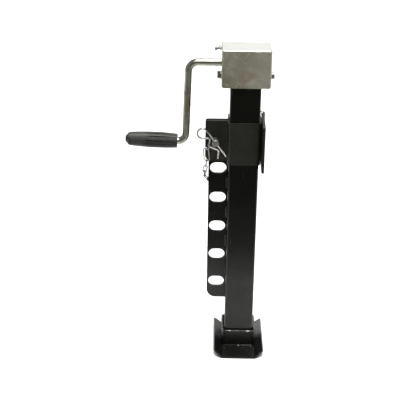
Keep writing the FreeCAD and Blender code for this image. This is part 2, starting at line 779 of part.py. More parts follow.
def pin_flange(y0):
    origin = V(0, y0 + flange_t, 0)
    points = [(flange_x, flange_z0), (-collar_out, flange_z0), (-collar_out, collar_top - 1),
              (flange_x, collar_top - 1)]
    radii = [flange_low_radius, 0, 0, flange_top_radius]
    plate = rounded_plate(points, radii, origin, X, Z, flange_t)
    hole = rod(pin_r + shaft_gap, V(pin_x, y0 - 1, pin_z), V(pin_x, y0 + flange_t + 1, pin_z))
    return plate.cut(hole)


def mounting_plate():
    depth = mount_depth / 2
    points = [(-depth, mount_z0), (depth, mount_z0), (depth, mount_top), (-depth, mount_top)]
    plate = rounded_plate(points, [mount_corner] * 4, V(mount_x, 0, 0), Y, Z, mount_t)
    hole = rod(anchor_hole_r, V(mount_x - 1, anchor_y, anchor_z), V(mount_x + mount_t + 1, anchor_y, anchor_z))
    return plate.cut(hole)


def bracket_welds():
    beads = []
    low, high = collar_bottom + 6, collar_top - 6
    for face_y, out in ((flange_front, -1), (flange_back, 1)):
        start = V(-collar_out, face_y, low)
        beads.append(fillet_bead(start, V(-collar_out, face_y, high), V(-weld, 0, 0), V(0, out * weld, 0)))
    edge = collar_out - tube_corner - collar_wall
    for side in (-1, 1):
        y0, y1 = side * (edge - 6), side * edge
        beads.append(block(collar_out, mount_x, min(y0, y1), max(y0, y1), low, high))
    return beads


def lock_pin():
    """Plain pin: head behind the rear flange, domed nose and a cross hole for the clip."""
    head_face = flange_back + seat_gap
    pin = rod(pin_r, V(pin_x, pin_end, pin_z), V(pin_x, head_face, pin_z))
    nose = [e for e in pin.Edges if e.BoundBox.YMax < pin_end + 0.01]
    pin = pin.makeChamfer(1.2, nose)
    head = rod(pin_head_r, V(pin_x, head_face, pin_z), V(pin_x, head_face + pin_head_t, pin_z))
    rear = [e for e in head.Edges if e.BoundBox.YMin > head_face + pin_head_t - 0.01]
    pin = pin.fuse(head.makeFillet(1.5, rear)).removeSplitter()
    centre = V(pin_x, clip_y, pin_z)
    along, across = clip_axes()
    return pin.cut(rod(clip_wire / 2 + shaft_gap, centre - along * 12, centre + along * 12))


def clip_axes():
    lean = math.radians(clip_lean)
    along = V(math.cos(lean), 0, -math.sin(lean))
    across = V(math.sin(lean), 0, math.cos(lean))
    return along, across


def clip_point(s, t):
    along, across = clip_axes()
    return V(pin_x, clip_y, pin_z) + along * s + across * t


def r_clip():
    """Straight leg through the pin and the finger ring, up to where the spring leg starts."""
    tip = clip_point(clip_leg, 0)
    back = clip_point(-clip_ring_back, 0)
    centre = (-clip_ring_back, -clip_ring_r)

    def on_ring(angle):
        return clip_point(centre[0] + clip_ring_r * math.cos(angle), centre[1] + clip_ring_r * math.sin(angle))

    first = Part.Arc(back, on_ring(math.radians(135)), on_ring(math.radians(180))).toShape()
    end = on_ring(math.radians(clip_ring_end))
    second = Part.Arc(on_ring(math.radians(180)), on_ring(math.radians(250)), end).toShape()
    return wire_along(Part.Wire([Part.makeLine(tip, back), first, second]), clip_wire / 2)


def clip_spring_path():
    """Waved leg from the finger ring's end over the outside of the pin to a flared tip."""
    turn = math.radians(clip_ring_end)
    heading = (-math.sin(turn), math.cos(turn))
    start = (-clip_ring_back + clip_ring_r * heading[1], -clip_ring_r - clip_ring_r * heading[0])
    crest = (start[0] + 16 * heading[0], start[1] + 16 * heading[1])
    spots = [start, crest, (-2.5, -16.5), (16.5, -4.5), (30.2, -16.3)]
    return bent_path([clip_point(s, t) for s, t in spots], clip_bends)


def clip_spring():
    return wire_along(clip_spring_path(), clip_wire / 2)


def link(centre, along, face, inner=link_inner, gap=link_gap_w, wire=link_wire):
    """One oval chain link: along is its long direction and face the normal of its plane."""
    along = V(along).normalize()
    face = (face - along * face.dot(along)).normalize()
    side = face.cross(along)
    end_r = (gap + wire) / 2
    straight = (inner + wire) / 2 - end_r
    radius = wire / 2
    pieces = []
    for sign in (-1, 1):
        mid = centre + along * (sign * straight)
        disc = Part.Face(Part.Wire(Part.makeCircle(radius, mid + side * (sign * end_r), along)))
        pieces.append(disc.revolve(mid, face, -180))
        offset = side * (sign * end_r)
        pieces.append(rod(radius, centre - along * straight + offset, centre + along * straight + offset))
    return solid_of(pieces[0].multiFuse(pieces[1:]).removeSplitter())


def hang_point():
    """Where the small link hangs on the spring leg's second bend, with the wire's direction there."""
    bend = clip_spring_path().Edges[3]
    at = bend.FirstParameter + clip_hang * (bend.LastParameter - bend.FirstParameter)
    tangent = bend.tangentAt(at)
    down = tangent.cross(Y)
    if down.z > 0:
        down = down * -1
    return bend.valueAt(at), tangent, down


def clip_link():
    """Small link round the spring leg and round the top of the oval ring."""
    top, tangent, down = hang_point()
    inner = hang_drop + (clip_wire + link_wire) / 2 + link_play / 3
    middle = top + down * ((hang_drop - clip_wire / 2 + link_wire / 2) / 2)
    return link(middle, down, tangent, inner)


def tether_ring():
    """Oval ring between the small link and the chain, flat to the front."""
    top, tangent, down = hang_point()
    upper = top + down * (hang_drop + ring_r)
    lower = V(tether_x, clip_y, tether_low + ring_r)
    inner = (upper - lower).Length + tether_gap_w
    return link((upper + lower) * 0.5, upper - lower, Y, inner, tether_gap_w)


def anchor_size():
    """Middle line of the ring through the mounting plate: x, lower and upper bow, inner width."""
    gap = mount_t + anchor_wire + link_wire - 2.1
    ring_x = mount_x + mount_t + slide_gap - gap / 2
    offset = mount_x + mount_t - ring_x
    lift = gap / 2 - math.sqrt((gap / 2) ** 2 - offset ** 2)
    return ring_x, anchor_z - 0.8, mount_top + seat_gap + lift + anchor_wire / 2, gap


def anchor_ring():
    """Oval ring through the hole near the plate's top edge; the chain hangs in its inner side."""
    ring_x, low, high, gap = anchor_size()
    return link(V(ring_x, anchor_y, (low + high) / 2), Z, Y, high - low - anchor_wire, gap, anchor_wire)


def chain_curve():
    """The chain sags behind the leg, comes round the slotted plate's edge and climbs to its ring."""
    ring_x, low, high, gap = anchor_size()
    bow = (gap + anchor_wire) / 2
    start = V(ring_x - bow * 0.68 + 0.5, anchor_y, low + bow * 0.27 + 1.9)
    end = V(tether_x, clip_y, tether_low + link_wire / 2)
    route = [start, V(half - 12, half + 11.5, collar_bottom + 29), V(-3, half + 10.5, collar_bottom - 7),
             V(-half + 3, half + 7.5, collar_bottom - 35), V(-half - 22, half - 5, collar_bottom - 47.5),
             V(strip_x - 1.3, strip_back + 10.5, collar_bottom - 45),
             V(strip_x - 7.8, strip_front + 2, collar_bottom - 30), V(strip_x - 6.7, pin_end + 17, tether_low - 20),
             end]
    curve = Part.BSplineCurve()
    curve.interpolate(route)
    return curve


def chain_links():
    """Links of one length along the curve, each turned a quarter to the one before."""
    samples = chain_curve().discretize(Number=1500)
    length = sum((b - a).Length for a, b in zip(samples, samples[1:]))
    count = max(4, round(length / link_inner))
    low, high = link_inner * 0.5, link_inner * 1.5
    for _ in range(40):
        pitch = (low + high) / 2
        joints = [samples[0]]
        for spot in samples:
            if (spot - joints[-1]).Length >= pitch:
                joints.append(spot)
        if len(joints) > count:
            low = pitch
        else:
            high = pitch
    joints = joints[:count] + [samples[-1]]
    facing = X
    frames = []
    for i, (start, end) in enumerate(zip(joints, joints[1:])):
        along = (end - start).normalize()
        facing = (facing - along * facing.dot(along)).normalize()
        face = facing if i % 2 == 0 else along.cross(facing)
        frames.append(((start + end) * 0.5, along, face))
    middle, along, face = frames[-1]
    twist = math.degrees(math.atan2(face.cross(X).dot(along), face.dot(X)))
    twist = (twist + 90) % 180 - 90
    links = []
    for i, (middle, along, face) in enumerate(frames):
        turned = Rotation(along, twist * i / (len(frames) - 1)).multVec(face)
        links.append(link(middle, along, turned, pitch + link_play))
    return links


def main():
    save("outer_tube", outer_tube())
    save("slotted_plate", slotted_plate())
    save("plate_welds", *plate_welds())
    save("gearbox_frame", gearbox_frame())
    save("gearbox_weld", solid_of(ring_bead(half, tube_corner, tube_top, -weld, weld)))
    save("gearbox_cover", gearbox_cover())
    save("grease_nipple", grease_nipple())
    save("cover_bolts", *side_bolts())
    save("cover_washers", *side_washers())
    save("weld_nuts", *weld_nuts())
    save("shaft_bush_left", shaft_bush(-1))
    save("shaft_bush_right", shaft_bush(1))
    save("screw_bush", screw_bush())
    save("drive_screw", drive_screw())
    save("bearing_race_lower", bearing_race(collar_z1))
    save("bearing_race_upper", bearing_race(tube_top - race_t))
    save("bearing_ball_row", bearing_row())
    save("driven_gear", driven_gear())
    save("gear_nut", gear_nut())
    save("drive_pinion", drive_pinion())
    save("pinion_pin", pin_hole(pinion_pin_r))
    save("crank_handle", crank_handle())
    save("shaft_circlip", shaft_circlip())
    save("grip_retainer", grip_retainer())
    save("hand_grip", hand_grip())
    save("inner_tube", inner_tube())
    save("screw_nut", screw_nut())
    save("foot_plate", foot_plate())
    save("foot_cup", foot_cup())
    save("foot_welds", *foot_welds())
    save("collar_sleeve", collar_sleeve())
    save("pin_flange_front", pin_flange(flange_front))
    save("pin_flange_rear", pin_flange(flange_back - flange_t))
    save("mounting_plate", mounting_plate())
    save("bracket_welds", *bracket_welds())
    save("lock_pin", lock_pin())
    save("r_clip", r_clip())
    save("clip_spring", clip_spring())
    save("anchor_ring", anchor_ring())
    save("tether_ring", tether_ring())
    save("clip_link", clip_link())
    links = chain_links()
    save("chain_bracket_side", *links[:bracket_links])
    save("chain_clip_side", *links[bracket_links:])


main()
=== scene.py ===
"""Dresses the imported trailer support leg: paint, plating, welds and chain, on a pale studio floor."""

import json
import math

import bpy
import numpy as np
from bpy.props import FloatProperty, FloatVectorProperty, PointerProperty
from mathutils import Matrix, Vector


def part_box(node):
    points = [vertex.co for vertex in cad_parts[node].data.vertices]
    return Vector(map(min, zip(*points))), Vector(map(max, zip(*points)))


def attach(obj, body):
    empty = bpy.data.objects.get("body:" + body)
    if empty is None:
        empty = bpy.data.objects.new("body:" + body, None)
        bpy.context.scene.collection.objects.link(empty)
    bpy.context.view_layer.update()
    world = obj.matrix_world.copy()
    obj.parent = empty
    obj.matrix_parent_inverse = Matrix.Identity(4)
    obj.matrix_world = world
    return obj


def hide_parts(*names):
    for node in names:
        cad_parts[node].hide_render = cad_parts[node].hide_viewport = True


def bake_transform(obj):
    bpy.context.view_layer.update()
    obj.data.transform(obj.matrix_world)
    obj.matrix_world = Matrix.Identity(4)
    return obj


bl_info = {
    "name": "Trailer support leg",
    "version": (1, 0, 0),
    "blender": (4, 5, 0),
    "location": "View3D > Sidebar > Support leg",
    "description": "Materials, weld beads, chain and studio for a side-wind trailer support leg",
    "category": "Object",
}

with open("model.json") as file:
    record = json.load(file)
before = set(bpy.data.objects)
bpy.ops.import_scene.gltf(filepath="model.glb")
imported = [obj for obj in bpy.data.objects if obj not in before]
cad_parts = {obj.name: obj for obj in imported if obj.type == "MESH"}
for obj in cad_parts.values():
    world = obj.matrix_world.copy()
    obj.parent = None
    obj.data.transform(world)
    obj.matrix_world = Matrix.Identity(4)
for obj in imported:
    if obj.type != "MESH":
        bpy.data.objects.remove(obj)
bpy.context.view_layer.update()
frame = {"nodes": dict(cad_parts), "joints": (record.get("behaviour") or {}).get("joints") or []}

NODES = frame["nodes"]
X, Y, Z = np.eye(3)
HAIR = 1e-4               # a gap too small to see, in metres

# Which finish each CAD node takes
TUBE_PAINT = ("outer_tube", "slotted_plate")
BRACKET_PAINT = ("collar_sleeve", "pin_flange_front", "pin_flange_rear", "mounting_plate")
FOOT_PAINT = ("foot_plate", "foot_cup")
BRIGHT_PIECES = ("r_clip", "clip_spring", "anchor_ring")
RINGS = ("tether_ring", "clip_link")
BLACKENED = ("cover_bolts", "cover_washers")
BEARING_PIECES = ("bearing_race_lower", "bearing_race_upper", "bearing_ball_row")
BUSHES = ("shaft_bush_left", "shaft_bush_right", "screw_bush")
TURNED = ("drive_screw", "drive_pinion", "driven_gear", "gear_nut", "pinion_pin", "weld_nuts", "screw_nut",
          "shaft_circlip", "grip_retainer", "gearbox_frame")


# Where the foot gets painted glints, made as spots of bare steel: x, y, z and radius, in metres
FOOT_GLINT_SPOTS = ((0.0205, -0.0350, 0.0410, 0.0032), (0.0170, -0.0355, 0.0410, 0.0018),
               (0.0236, -0.0375, 0.0055, 0.0022), (-0.0190, -0.0355, 0.0412, 0.0012),
               (0.0440, -0.0200, 0.0210, 0.0016), (0.0480, -0.0680, 0.0090, 0.0026),
               (0.0400, 0.0250, 0.0240, 0.0020))
# Where its raised lips get a painted sheen for the backdrop they reflect: x, y, z and radius in metres, and
# the tone
LIP_PAINTED_SHEEN = ((-0.0500, 0.0300, 0.0220, 0.0560, 0.060), (0.0500, 0.0300, 0.0220, 0.0480, 0.120))
# Where the crank's arm gets a painted dark reflection, tinted brown: x, y, z and radius, in metres
CRANK_DARK_REFLECTION = (-0.1290, 0.0, 0.5400, 0.0480)

# Tones under and on the black paint
PAINT_STAIN = (0.052, 0.040, 0.024)
PAINT_SCUFF = (0.075, 0.075, 0.068)
PAINT_SPECK = (0.12, 0.12, 0.11)
PAINT_DUST = (0.22, 0.21, 0.18)
PAINT_CHIP = (0.17, 0.16, 0.14)
# Painted highlight along the upper edge of the foot's cup
RIM_PAINTED_HIGHLIGHT = (0.20, 0.20, 0.185)
# Bare steel of the painted glints on the foot
BARE_STEEL = (0.62, 0.62, 0.60)

# The black paint's painted floor reflection low on the tube, and its painted highlight along the cup's rim:
# heights in metres, the rim's from its own edge
FLOOR_GLOW_FROM = (-0.255, -0.135)      # downwards positive: the film begins between these heights
RIM_BAND = (-0.0011, -0.0004)

# Where the weld paint is darker and rougher: left of one x, and below one height, in metres
DARK_LEFT_OF = (0.004, 0.010)
DARK_BELOW = (0.020, 0.030)
DARK_BEAD_TONE = (0.002, 0.002, 0.002)
WELD_SPATTER = (0.20, 0.20, 0.19)

# The cover's brown bloom in shares of half its size: how far right of and below its middle, and how
# fast it fades across and upwards. The slants of its scratches are in radians.
BLOOM_RIGHT, BLOOM_BELOW = 0.05, 0.45
BLOOM_ACROSS, BLOOM_UPWARDS = 3.0, 2.2
SCRATCH_SLANT, CROSSING_SLANT = 0.62, -0.95
COVER_PITS = (0.13, 0.12, 0.09)
# Near white painted on the cover's top as light from above
COVER_TOP_PAINTED_LIGHT = (0.585, 0.585, 0.565)
ZINC_PITS = (0.10, 0.095, 0.08)
ZINC_EDGE = (0.15, 0.15, 0.15, 1.0)   # how much a wire's rim still reflects

# How bright each zinc piece is beside the clip's leg, as a share
CRANK_SHARE, RING_SHARE, PIN_SHARE, CHAIN_SHARE = 0.41, 0.45, 0.34, 0.28
INNER_TUBE_SHARE, HANDLED_SHARE = 0.34, 0.34

# The grip's moulding, in metres from its middle and in radians round it
GRIP_RADIUS = 0.0152
RIBS_FROM_TOP = (-0.0085, -0.0045)    # heights, downwards positive, between which the ribs begin
RIBS_END = (0.0405, 0.0425)           # where they end towards the grip's tip
GROOVE_TURNS = (-0.52, -0.80)
GROOVE_EDGE = (0.035, 0.085)
GROOVES_FROM = (-0.008, -0.003)

# A weld bead's section: points over its front, how it bulges, how far its root sinks in as a share of
# its legs, and the run in metres along which its open ends shrink
BEAD_POINTS, BEAD_BULGE, BEAD_SINK, BEAD_END = 9, 0.85, 0.12, 0.003
LINK_SECTIONS, LINK_SIDES = 56, 16

# The foot's weld beads and spatter, in metres
CUP_BEAD = 0.0032                     # width of the bead round the inner tube
TUBE_CORNER = 0.003                   # corner radius of that bead's path
CUP_FLAT = 0.028                      # half the straight front of the cup
CUP_ROUND = 0.008                     # radius of the cup's corners
CROWN_CORNER = 0.006                  # corner radius of the outer tube under the gear housing
BIG_DROP = (0.0007, 0.0022, 0.0012, 0.0025, 0.0020)   # x, ahead of the cup, rise, radius, height
SPATTER = ((0.0272, 0.0042, 0.0011), (0.0105, 0.0075, 0.0009), (-0.0150, 0.0050, 0.0008),
           (0.0330, 0.0120, 0.0009), (-0.0290, 0.0100, 0.0010), (0.0190, 0.0160, 0.0007))
DROP_FLATNESS = 0.7

# Each softbox: its place, what it faces, width and height in metres, its grid's angle in degrees and
# the setting that holds its power. The overhead one looks a hair back of straight down.
SOFTBOXES = {
    "overhead": ((0.0, 4.0, 1.7), (0.0, 4.0001, 0.0), (10.0, 9.0), 24, "key"),
    "back": ((0.0, 3.6, 2.1), (0.0, 0.0, 0.55), (4.2, 1.9), 180, "back"),
    "front_top": ((0.0, -1.29, 2.05), (0.0, 0.0, 0.5), (1.8, 0.9), 50, "front"),
    "top": ((0.0, -0.42, 2.46), (0.0, 0.0, 0.5), (1.6, 0.8), 40, "front"),
    "left_fill": ((-2.2, -0.9, 1.2), (0.0, 0.0, 0.4), (0.9, 1.4), 180, "fill"),
}
FLOOR_RINGS = (0.0001, 0.3, 1.0, 3.0, 8.0, 20.0)
FLOOR_SIDES = 64
FLOOR_DROP = 0.0002

# The photograph's camera, solved from the corners of the tube, the cover and the foot
CAMERA_AT = (-0.0635039, -1.6981275, 1.0612988)
CAMERA_PITCH, CAMERA_ROLL, CAMERA_YAW = 23.3176, 0.6916, -0.7595
CAMERA_SENSOR, CAMERA_LENS = 36.0, 81.0
CAMERA_REACH = 60.0


# ---- Sizes and colours a user may change

def colour(name, words, value):
    return FloatVectorProperty(name=name, description=words, subtype="COLOR", size=3, min=0, max=1,
                               default=value)


def share(name, words, value):
    return FloatProperty(name=name, description=words, subtype="FACTOR", min=0, max=1, default=value)


def length(name, words, value):
    return FloatProperty(name=name, description=words, unit="LENGTH", min=0, default=value)


def strength(name, words, value):
    return FloatProperty(name=name, description=words, min=0, default=value)


class LegPaint(bpy.types.PropertyGroup):
    tube: colour("Tube", "Gloss black paint of the tube and the slotted plate", (0.0022, 0.0024, 0.0012))
    bracket: colour("Bracket", "Satin black paint of the sliding bracket", (0.0105, 0.0108, 0.0072))
    foot: colour("Foot", "Black paint of the sole and its cup", (0.0038, 0.0040, 0.0034))
    gloss: share("Tube roughness", "Roughness of the tube's paint where it is clean", 0.18)
    satin: share("Bracket roughness", "Roughness of the bracket's paint where it is clean", 0.42)
    wear: share("Wear", "How many scuffs and chips the paint has", 0.5)


class LegPlating(bpy.types.PropertyGroup):
    cover: colour("Cover", "Yellow-grey zinc on the gear cover", (0.385, 0.376, 0.312))
    stain: colour("Stain", "Brownish patches in the cover's zinc", (0.31, 0.265, 0.20))
    bright: colour("Bright parts", "Bright zinc on the crank, clip and chain", (0.86, 0.86, 0.81))
    cover_rough: share("Cover roughness", "Roughness of the gear cover's zinc", 0.40)
    bright_rough: share("Bright roughness", "Roughness of the bright zinc", 0.18)


class LegGrip(bpy.types.PropertyGroup):
    plastic: colour("Plastic", "Black plastic of the hand grip", (0.020, 0.021, 0.0165))
    rib_pitch: length("Rib pitch", "Distance between the fine ribs round the grip", 0.0021)
    rib_depth: length("Rib depth", "Depth of the fine ribs", 0.00035)


class LegWelds(bpy.types.PropertyGroup):
    ripple: length("Ripple", "Distance between the ripples of a weld bead", 0.0024)
    swell: share("Swell", "How much each ripple stands out", 0.16)


class LegChain(bpy.types.PropertyGroup):
    knuckle: share("Knuckle", "How much thicker a link is at its butt weld", 0.16)


class LegStudio(bpy.types.PropertyGroup):
    floor: colour("Floor", "Pale floor", (0.92, 0.92, 0.91))
    key: strength("Overhead light", "Power of the gridded softbox above the floor, in watts", 340)
    back: strength("Back light", "Power of the softbox at the back, in watts", 30)
    front: strength("Front lights", "Power of each gridded softbox above the front, in watts", 2.5)
    fill: strength("Fill light", "Power of the softbox at the left, in watts", 3)
    sky: strength("Surround", "Strength of the studio's walls", 0.48)


GROUPS = {"leg_paint": LegPaint, "leg_plating": LegPlating, "leg_grip": LegGrip, "leg_welds": LegWelds,
          "leg_chain": LegChain, "leg_studio": LegStudio}


# ---- Material maths

class Flow:
    """A socket of a material with the usual arithmetic, so that a formula reads as a formula."""

    def __init__(self, tree, socket):
        self.tree, self.socket = tree, socket

    def maths(self, kind, *others, clamp=False):
        node = self.tree.nodes.new("ShaderNodeMath")
        node.operation, node.use_clamp = kind, clamp
        for place, value in zip(node.inputs, (self,) + others):
            if isinstance(value, Flow):
                self.tree.links.new(value.socket, place)
            else:
                place.default_value = value
        return Flow(self.tree, node.outputs[0])

    def _swap(self, kind, other):
        node = self.tree.nodes.new("ShaderNodeMath")
        node.operation = kind
        node.inputs[0].default_value = other
        self.tree.links.new(self.socket, node.inputs[1])
        return Flow(self.tree, node.outputs[0])

    def __add__(self, other):
        return self.maths("ADD", other)

    def __sub__(self, other):
        return self.maths("SUBTRACT", other)

    def __mul__(self, other):
        return self.maths("MULTIPLY", other)

    def __truediv__(self, other):
        return self.maths("DIVIDE", other)

    def __radd__(self, other):
        return self.maths("ADD", other)

    def __rmul__(self, other):
        return self.maths("MULTIPLY", other)

    def __rsub__(self, other):
        return self._swap("SUBTRACT", other)

    def __neg__(self):
        return self.maths("MULTIPLY", -1.0)

    def clamped(self):
        return self.maths("ADD", 0.0, clamp=True)


class Finish:
    """One material under construction."""

    def __init__(self, name):
        self.material = bpy.data.materials.new(name)
        self.material.use_nodes = True
        self.tree = self.material.node_tree
        self.shader = next(n for n in self.tree.nodes if n.type == "BSDF_PRINCIPLED")
        self.place = self.node("TexCoord", out="Object")

    def node(self, kind, settings=None, out=0, **sockets):
        """Adds one node: its settings first, then values or links on its sockets. A socket is given by
        its name, or as at0, at1 and so on where two share a name."""
        made = self.tree.nodes.new("ShaderNode" + kind)
        for key, value in (settings or {}).items():
            setattr(made, key, value)
        for key, value in sockets.items():
            self.feed(made.inputs[int(key[2:]) if key[2:].isdigit() else key.replace("_", " ")], value)
        return Flow(self.tree, made.outputs[out])

    def feed(self, socket, value):
        if isinstance(value, Flow):
            self.tree.links.new(value.socket, socket)
        elif isinstance(value, (tuple, list)) and socket.type == "RGBA":
            socket.default_value = (*value[:3], 1.0)
        else:
            socket.default_value = value

    def axis(self, letter, where=None):
        """One coordinate of the object's own space, or of where."""
        return self.node("SeparateXYZ", out=letter, Vector=where or self.place)

    def away(self, spot):
        """Distance from a spot."""
        return self.node("VectorMath", {"operation": "DISTANCE"}, out="Value", at0=self.place, at1=spot)

    def stretch(self, scale, turn=(0, 0, 0)):
        """Object coordinates turned first, then scaled: a small scale draws a pattern out that way."""
        return self.node("Mapping", {"vector_type": "TEXTURE"}, Vector=self.place, Rotation=turn,
                         Scale=tuple(1 / v for v in scale))

    def noise(self, scale, detail=3.0, where=None, twist=0.0, rough=0.5):
        """Cloudy noise: scale is how many waves go into a metre, detail how many finer layers it has."""
        return self.node("TexNoise", Vector=where or self.place, Scale=scale, Detail=detail,
                         Distortion=twist, Roughness=rough)

    def step(self, value, low, high):
        """Smooth rise from 0 to 1 while value goes from low to high."""
        return self.node("MapRange", {"interpolation_type": "SMOOTHSTEP"}, Value=value, From_Min=low,
                         From_Max=high, To_Min=0.0, To_Max=1.0)

    def mix(self, share_of, one, other):
        """Colour between one and other."""
        made = self.tree.nodes.new("ShaderNodeMix")
        made.data_type = "RGBA"
        self.feed(made.inputs[0], share_of)
        self.feed(made.inputs[6], one)
        self.feed(made.inputs[7], other)
        return Flow(self.tree, made.outputs[2])

    def bump(self, height, depth, below=None):
        sockets = {"Height": height, "Distance": depth, "Strength": 1.0}
        if below is not None:
            sockets["Normal"] = below
        return self.node("Bump", **sockets)

    def facing_up(self):
        """1 where the surface looks up, 0 where it looks sideways or down."""
        normal = self.node("NewGeometry", out="Normal")
        height = self.node("SeparateXYZ", out="Z", Vector=normal)
        return self.step(height, 0.55, 0.98)

    def close(self, base, rough, metal=0.0, normal=None, **fixed):
        self.feed(self.shader.inputs["Base Color"], base)
        self.feed(self.shader.inputs["Roughness"], rough)
        self.feed(self.shader.inputs["Metallic"], metal)
        if normal is not None:
            self.feed(self.shader.inputs["Normal"], normal)
        for key, value in fixed.items():
            self.shader.inputs[key.replace("_", " ")].default_value = value
        return self.material


def scaled(rgb, factor):
    return tuple(min(1.0, v * factor) for v in rgb)


def painted(name, rgb, rough, wear, grain_turn=(0, 0, 0), stain=0.0, shine=0.5, dusty=0.16,
            low_floor_glow=0.0, glint_spots=(), rim=None, sheen_spots=()):
    """Sprayed paint: orange-peel skin, cloudy film, long scuffs, a few chips and dust on level faces.
    One list of (x, y, z, radius) turns spots to bare steel as painted glints, rim is the height of an upper
    edge that gets a painted highlight, and a list of (x, y, z, radius, tone) holds soft pale patches of
    painted sheen.
    A film low on the tube is a painted reflection of the floor."""
    f = Finish(name)
    cloud = f.step(f.noise(22, 4), 0.38, 0.66)
    film = f.mix(cloud, scaled(rgb, 0.82), scaled(rgb, 1.28))
    if stain:
        patch = f.step(f.noise(34, 5, twist=0.6), 0.60, 0.74) * stain
        film = f.mix(patch, film, PAINT_STAIN)
    scuff_field = f.noise(420, 3, where=f.stretch((1.0, 1.0, 0.035), grain_turn), rough=0.6)
    region = f.step(f.noise(14, 2), 0.46, 0.62)
    scuff = f.step(scuff_field, 0.66, 0.72) * region * wear
    chip = f.step(f.noise(160, 4, rough=0.7), 0.745, 0.765) * wear
    speck = f.step(f.noise(1500, 2), 0.70, 0.78)
    dust = f.facing_up() * f.step(f.noise(90, 4), 0.30, 0.70)
    film = f.mix(scuff, film, PAINT_SCUFF)
    film = f.mix(speck * 0.22, film, PAINT_SPECK)
    film = f.mix(dust * dusty, film, PAINT_DUST)
    film = f.mix(chip, film, PAINT_CHIP)
    # Painted reflection of the floor: the paint is made lighter low down, between the heights above.
    if low_floor_glow:
        height = f.axis("Z")
        film = f.mix(f.step(-height, *FLOOR_GLOW_FROM) * (0.75 + cloud * 0.25), film,
                     (low_floor_glow, low_floor_glow, low_floor_glow * 0.92))
    # Painted highlight: a broken pale line just under the cup's upper edge.
    if rim:
        height = f.axis("Z")
        rim_highlight = f.step(height, rim + RIM_BAND[0], rim + RIM_BAND[1]) * f.step(f.noise(190, 3), 0.40, 0.58)
        film = f.mix(rim_highlight * 0.6, film, RIM_PAINTED_HIGHLIGHT)
    # Painted sheen: soft pale patches on the lips standing for the backdrop's reflection.
    for *spot, radius, tone in sheen_spots:
        away = f.away(spot)
        soft = (1.0 - f.step(away, radius * 0.45, radius)) * (0.6 + f.step(scuff_field, 0.35, 0.65) * 0.4)
        film = f.mix(soft, film, (tone, tone, tone * 0.98))
    roughness = rough + cloud * 0.08 + scuff * 0.25 + dust * 0.18 + chip * 0.25
    skin = f.bump(f.noise(650, 2), 0.00006)
    skin = f.bump(-chip, 0.00012, skin)
    # Painted glints: spots where the paint is turned to bare steel so that they glint.
    steel = 0.0
    for *spot, radius in glint_spots:
        away = f.away(spot)
        steel = (1.0 - f.step(away + f.noise(700, 3) * radius, radius * 0.9, radius * 1.2)) + steel
    if glint_spots:
        steel = steel.clamped()
        film = f.mix(steel, film, BARE_STEEL)
    return f.close(film, roughness.clamped(), steel, skin, IOR=1.5, Specular_IOR_Level=shine)


def cover_zinc(plating, middle, half):
    """Dull passivated zinc on folded sheet: olive and grey clouds, a brown bloom low in the middle of the
    front, rubs and fine crossing scratches. Painted light and shade: the front is lighter towards its right
    and darker towards its left and lower edges, and faces that look up are painted near white as lit from
    above."""
    f = Finish("cover_zinc")
    grey, brown = tuple(plating.cover), tuple(plating.stain)
    cloud = f.step(f.noise(21, 4, twist=0.6), 0.38, 0.62)
    base = f.mix(cloud, scaled((grey[0], grey[1], grey[2] * 0.88), 0.86), scaled(grey, 1.16))
    mottle = f.step(f.noise(75, 5, twist=0.4, rough=0.6), 0.42, 0.66)
    base = f.mix(mottle * 0.6, base, scaled((grey[0], grey[1] * 0.96, grey[2] * 0.84), 0.76))
    local = f.node("Mapping", {"vector_type": "TEXTURE"}, Vector=f.place, Location=middle, Scale=half)
    across = f.axis("X", local)
    height = f.axis("Z", local)
    # Painted light: the front is made lighter towards its right.
    base = f.mix(f.step(across, -1.0, 1.0) * 0.45, base, scaled(grey, 1.45))
    off = (across - BLOOM_RIGHT).maths("POWER", 2.0) * BLOOM_ACROSS
    off = off + (height + BLOOM_BELOW).maths("POWER", 2.0) * BLOOM_UPWARDS
    bloom = (1.0 - f.step(off, 0.0, 1.0)) * f.step(f.noise(60, 4), 0.35, 0.65)
    base = f.mix(bloom * 0.85, base, brown)
    # Painted shade: the front is made darker towards its left and lower edges.
    shade = f.step(-across, 0.55, 1.02) * 0.26 + f.step(-height, 0.70, 1.0) * 0.16
    base = f.mix(shade.clamped(), base, scaled((grey[0], grey[1], grey[2] * 0.8), 0.45))
    rub = f.step(f.noise(85, 4, where=f.stretch((1.0, 1.0, 1.6), (0.2, 0.5, 0)), rough=0.65), 0.68, 0.76)
    lines = f.noise(330, 2, where=f.stretch((1.0, 1.0, 0.09), (0.0, SCRATCH_SLANT, 0.0)), rough=0.6)
    crossing = f.noise(300, 2, where=f.stretch((1.0, 1.0, 0.12), (0.0, CROSSING_SLANT, 0.0)), rough=0.6)
    scratch = (f.step(lines, 0.67, 0.71) + f.step(crossing, 0.68, 0.72)) * f.step(f.noise(24, 2), 0.44, 0.56)
    base = f.mix((rub * 0.5 + scratch * 0.6).clamped(), base, scaled((1.0, 1.0, 0.93), 0.80))
    pits = f.step(f.noise(900, 3), 0.68, 0.76)
    base = f.mix(pits * 0.4, base, COVER_PITS)
    # Painted light: faces that look up are made near white.
    base = f.mix(f.facing_up() * 0.85, base, COVER_TOP_PAINTED_LIGHT)
    rough = plating.cover_rough + cloud * 0.06 + bloom * 0.08 - rub * 0.10 - scratch * 0.12
    skin = f.bump(f.noise(28, 3), 0.0009)
    skin = f.bump(f.noise(900, 2) - scratch * 0.5, 0.00004, skin)
    return f.close(base, rough.clamped(), 0.9, skin)


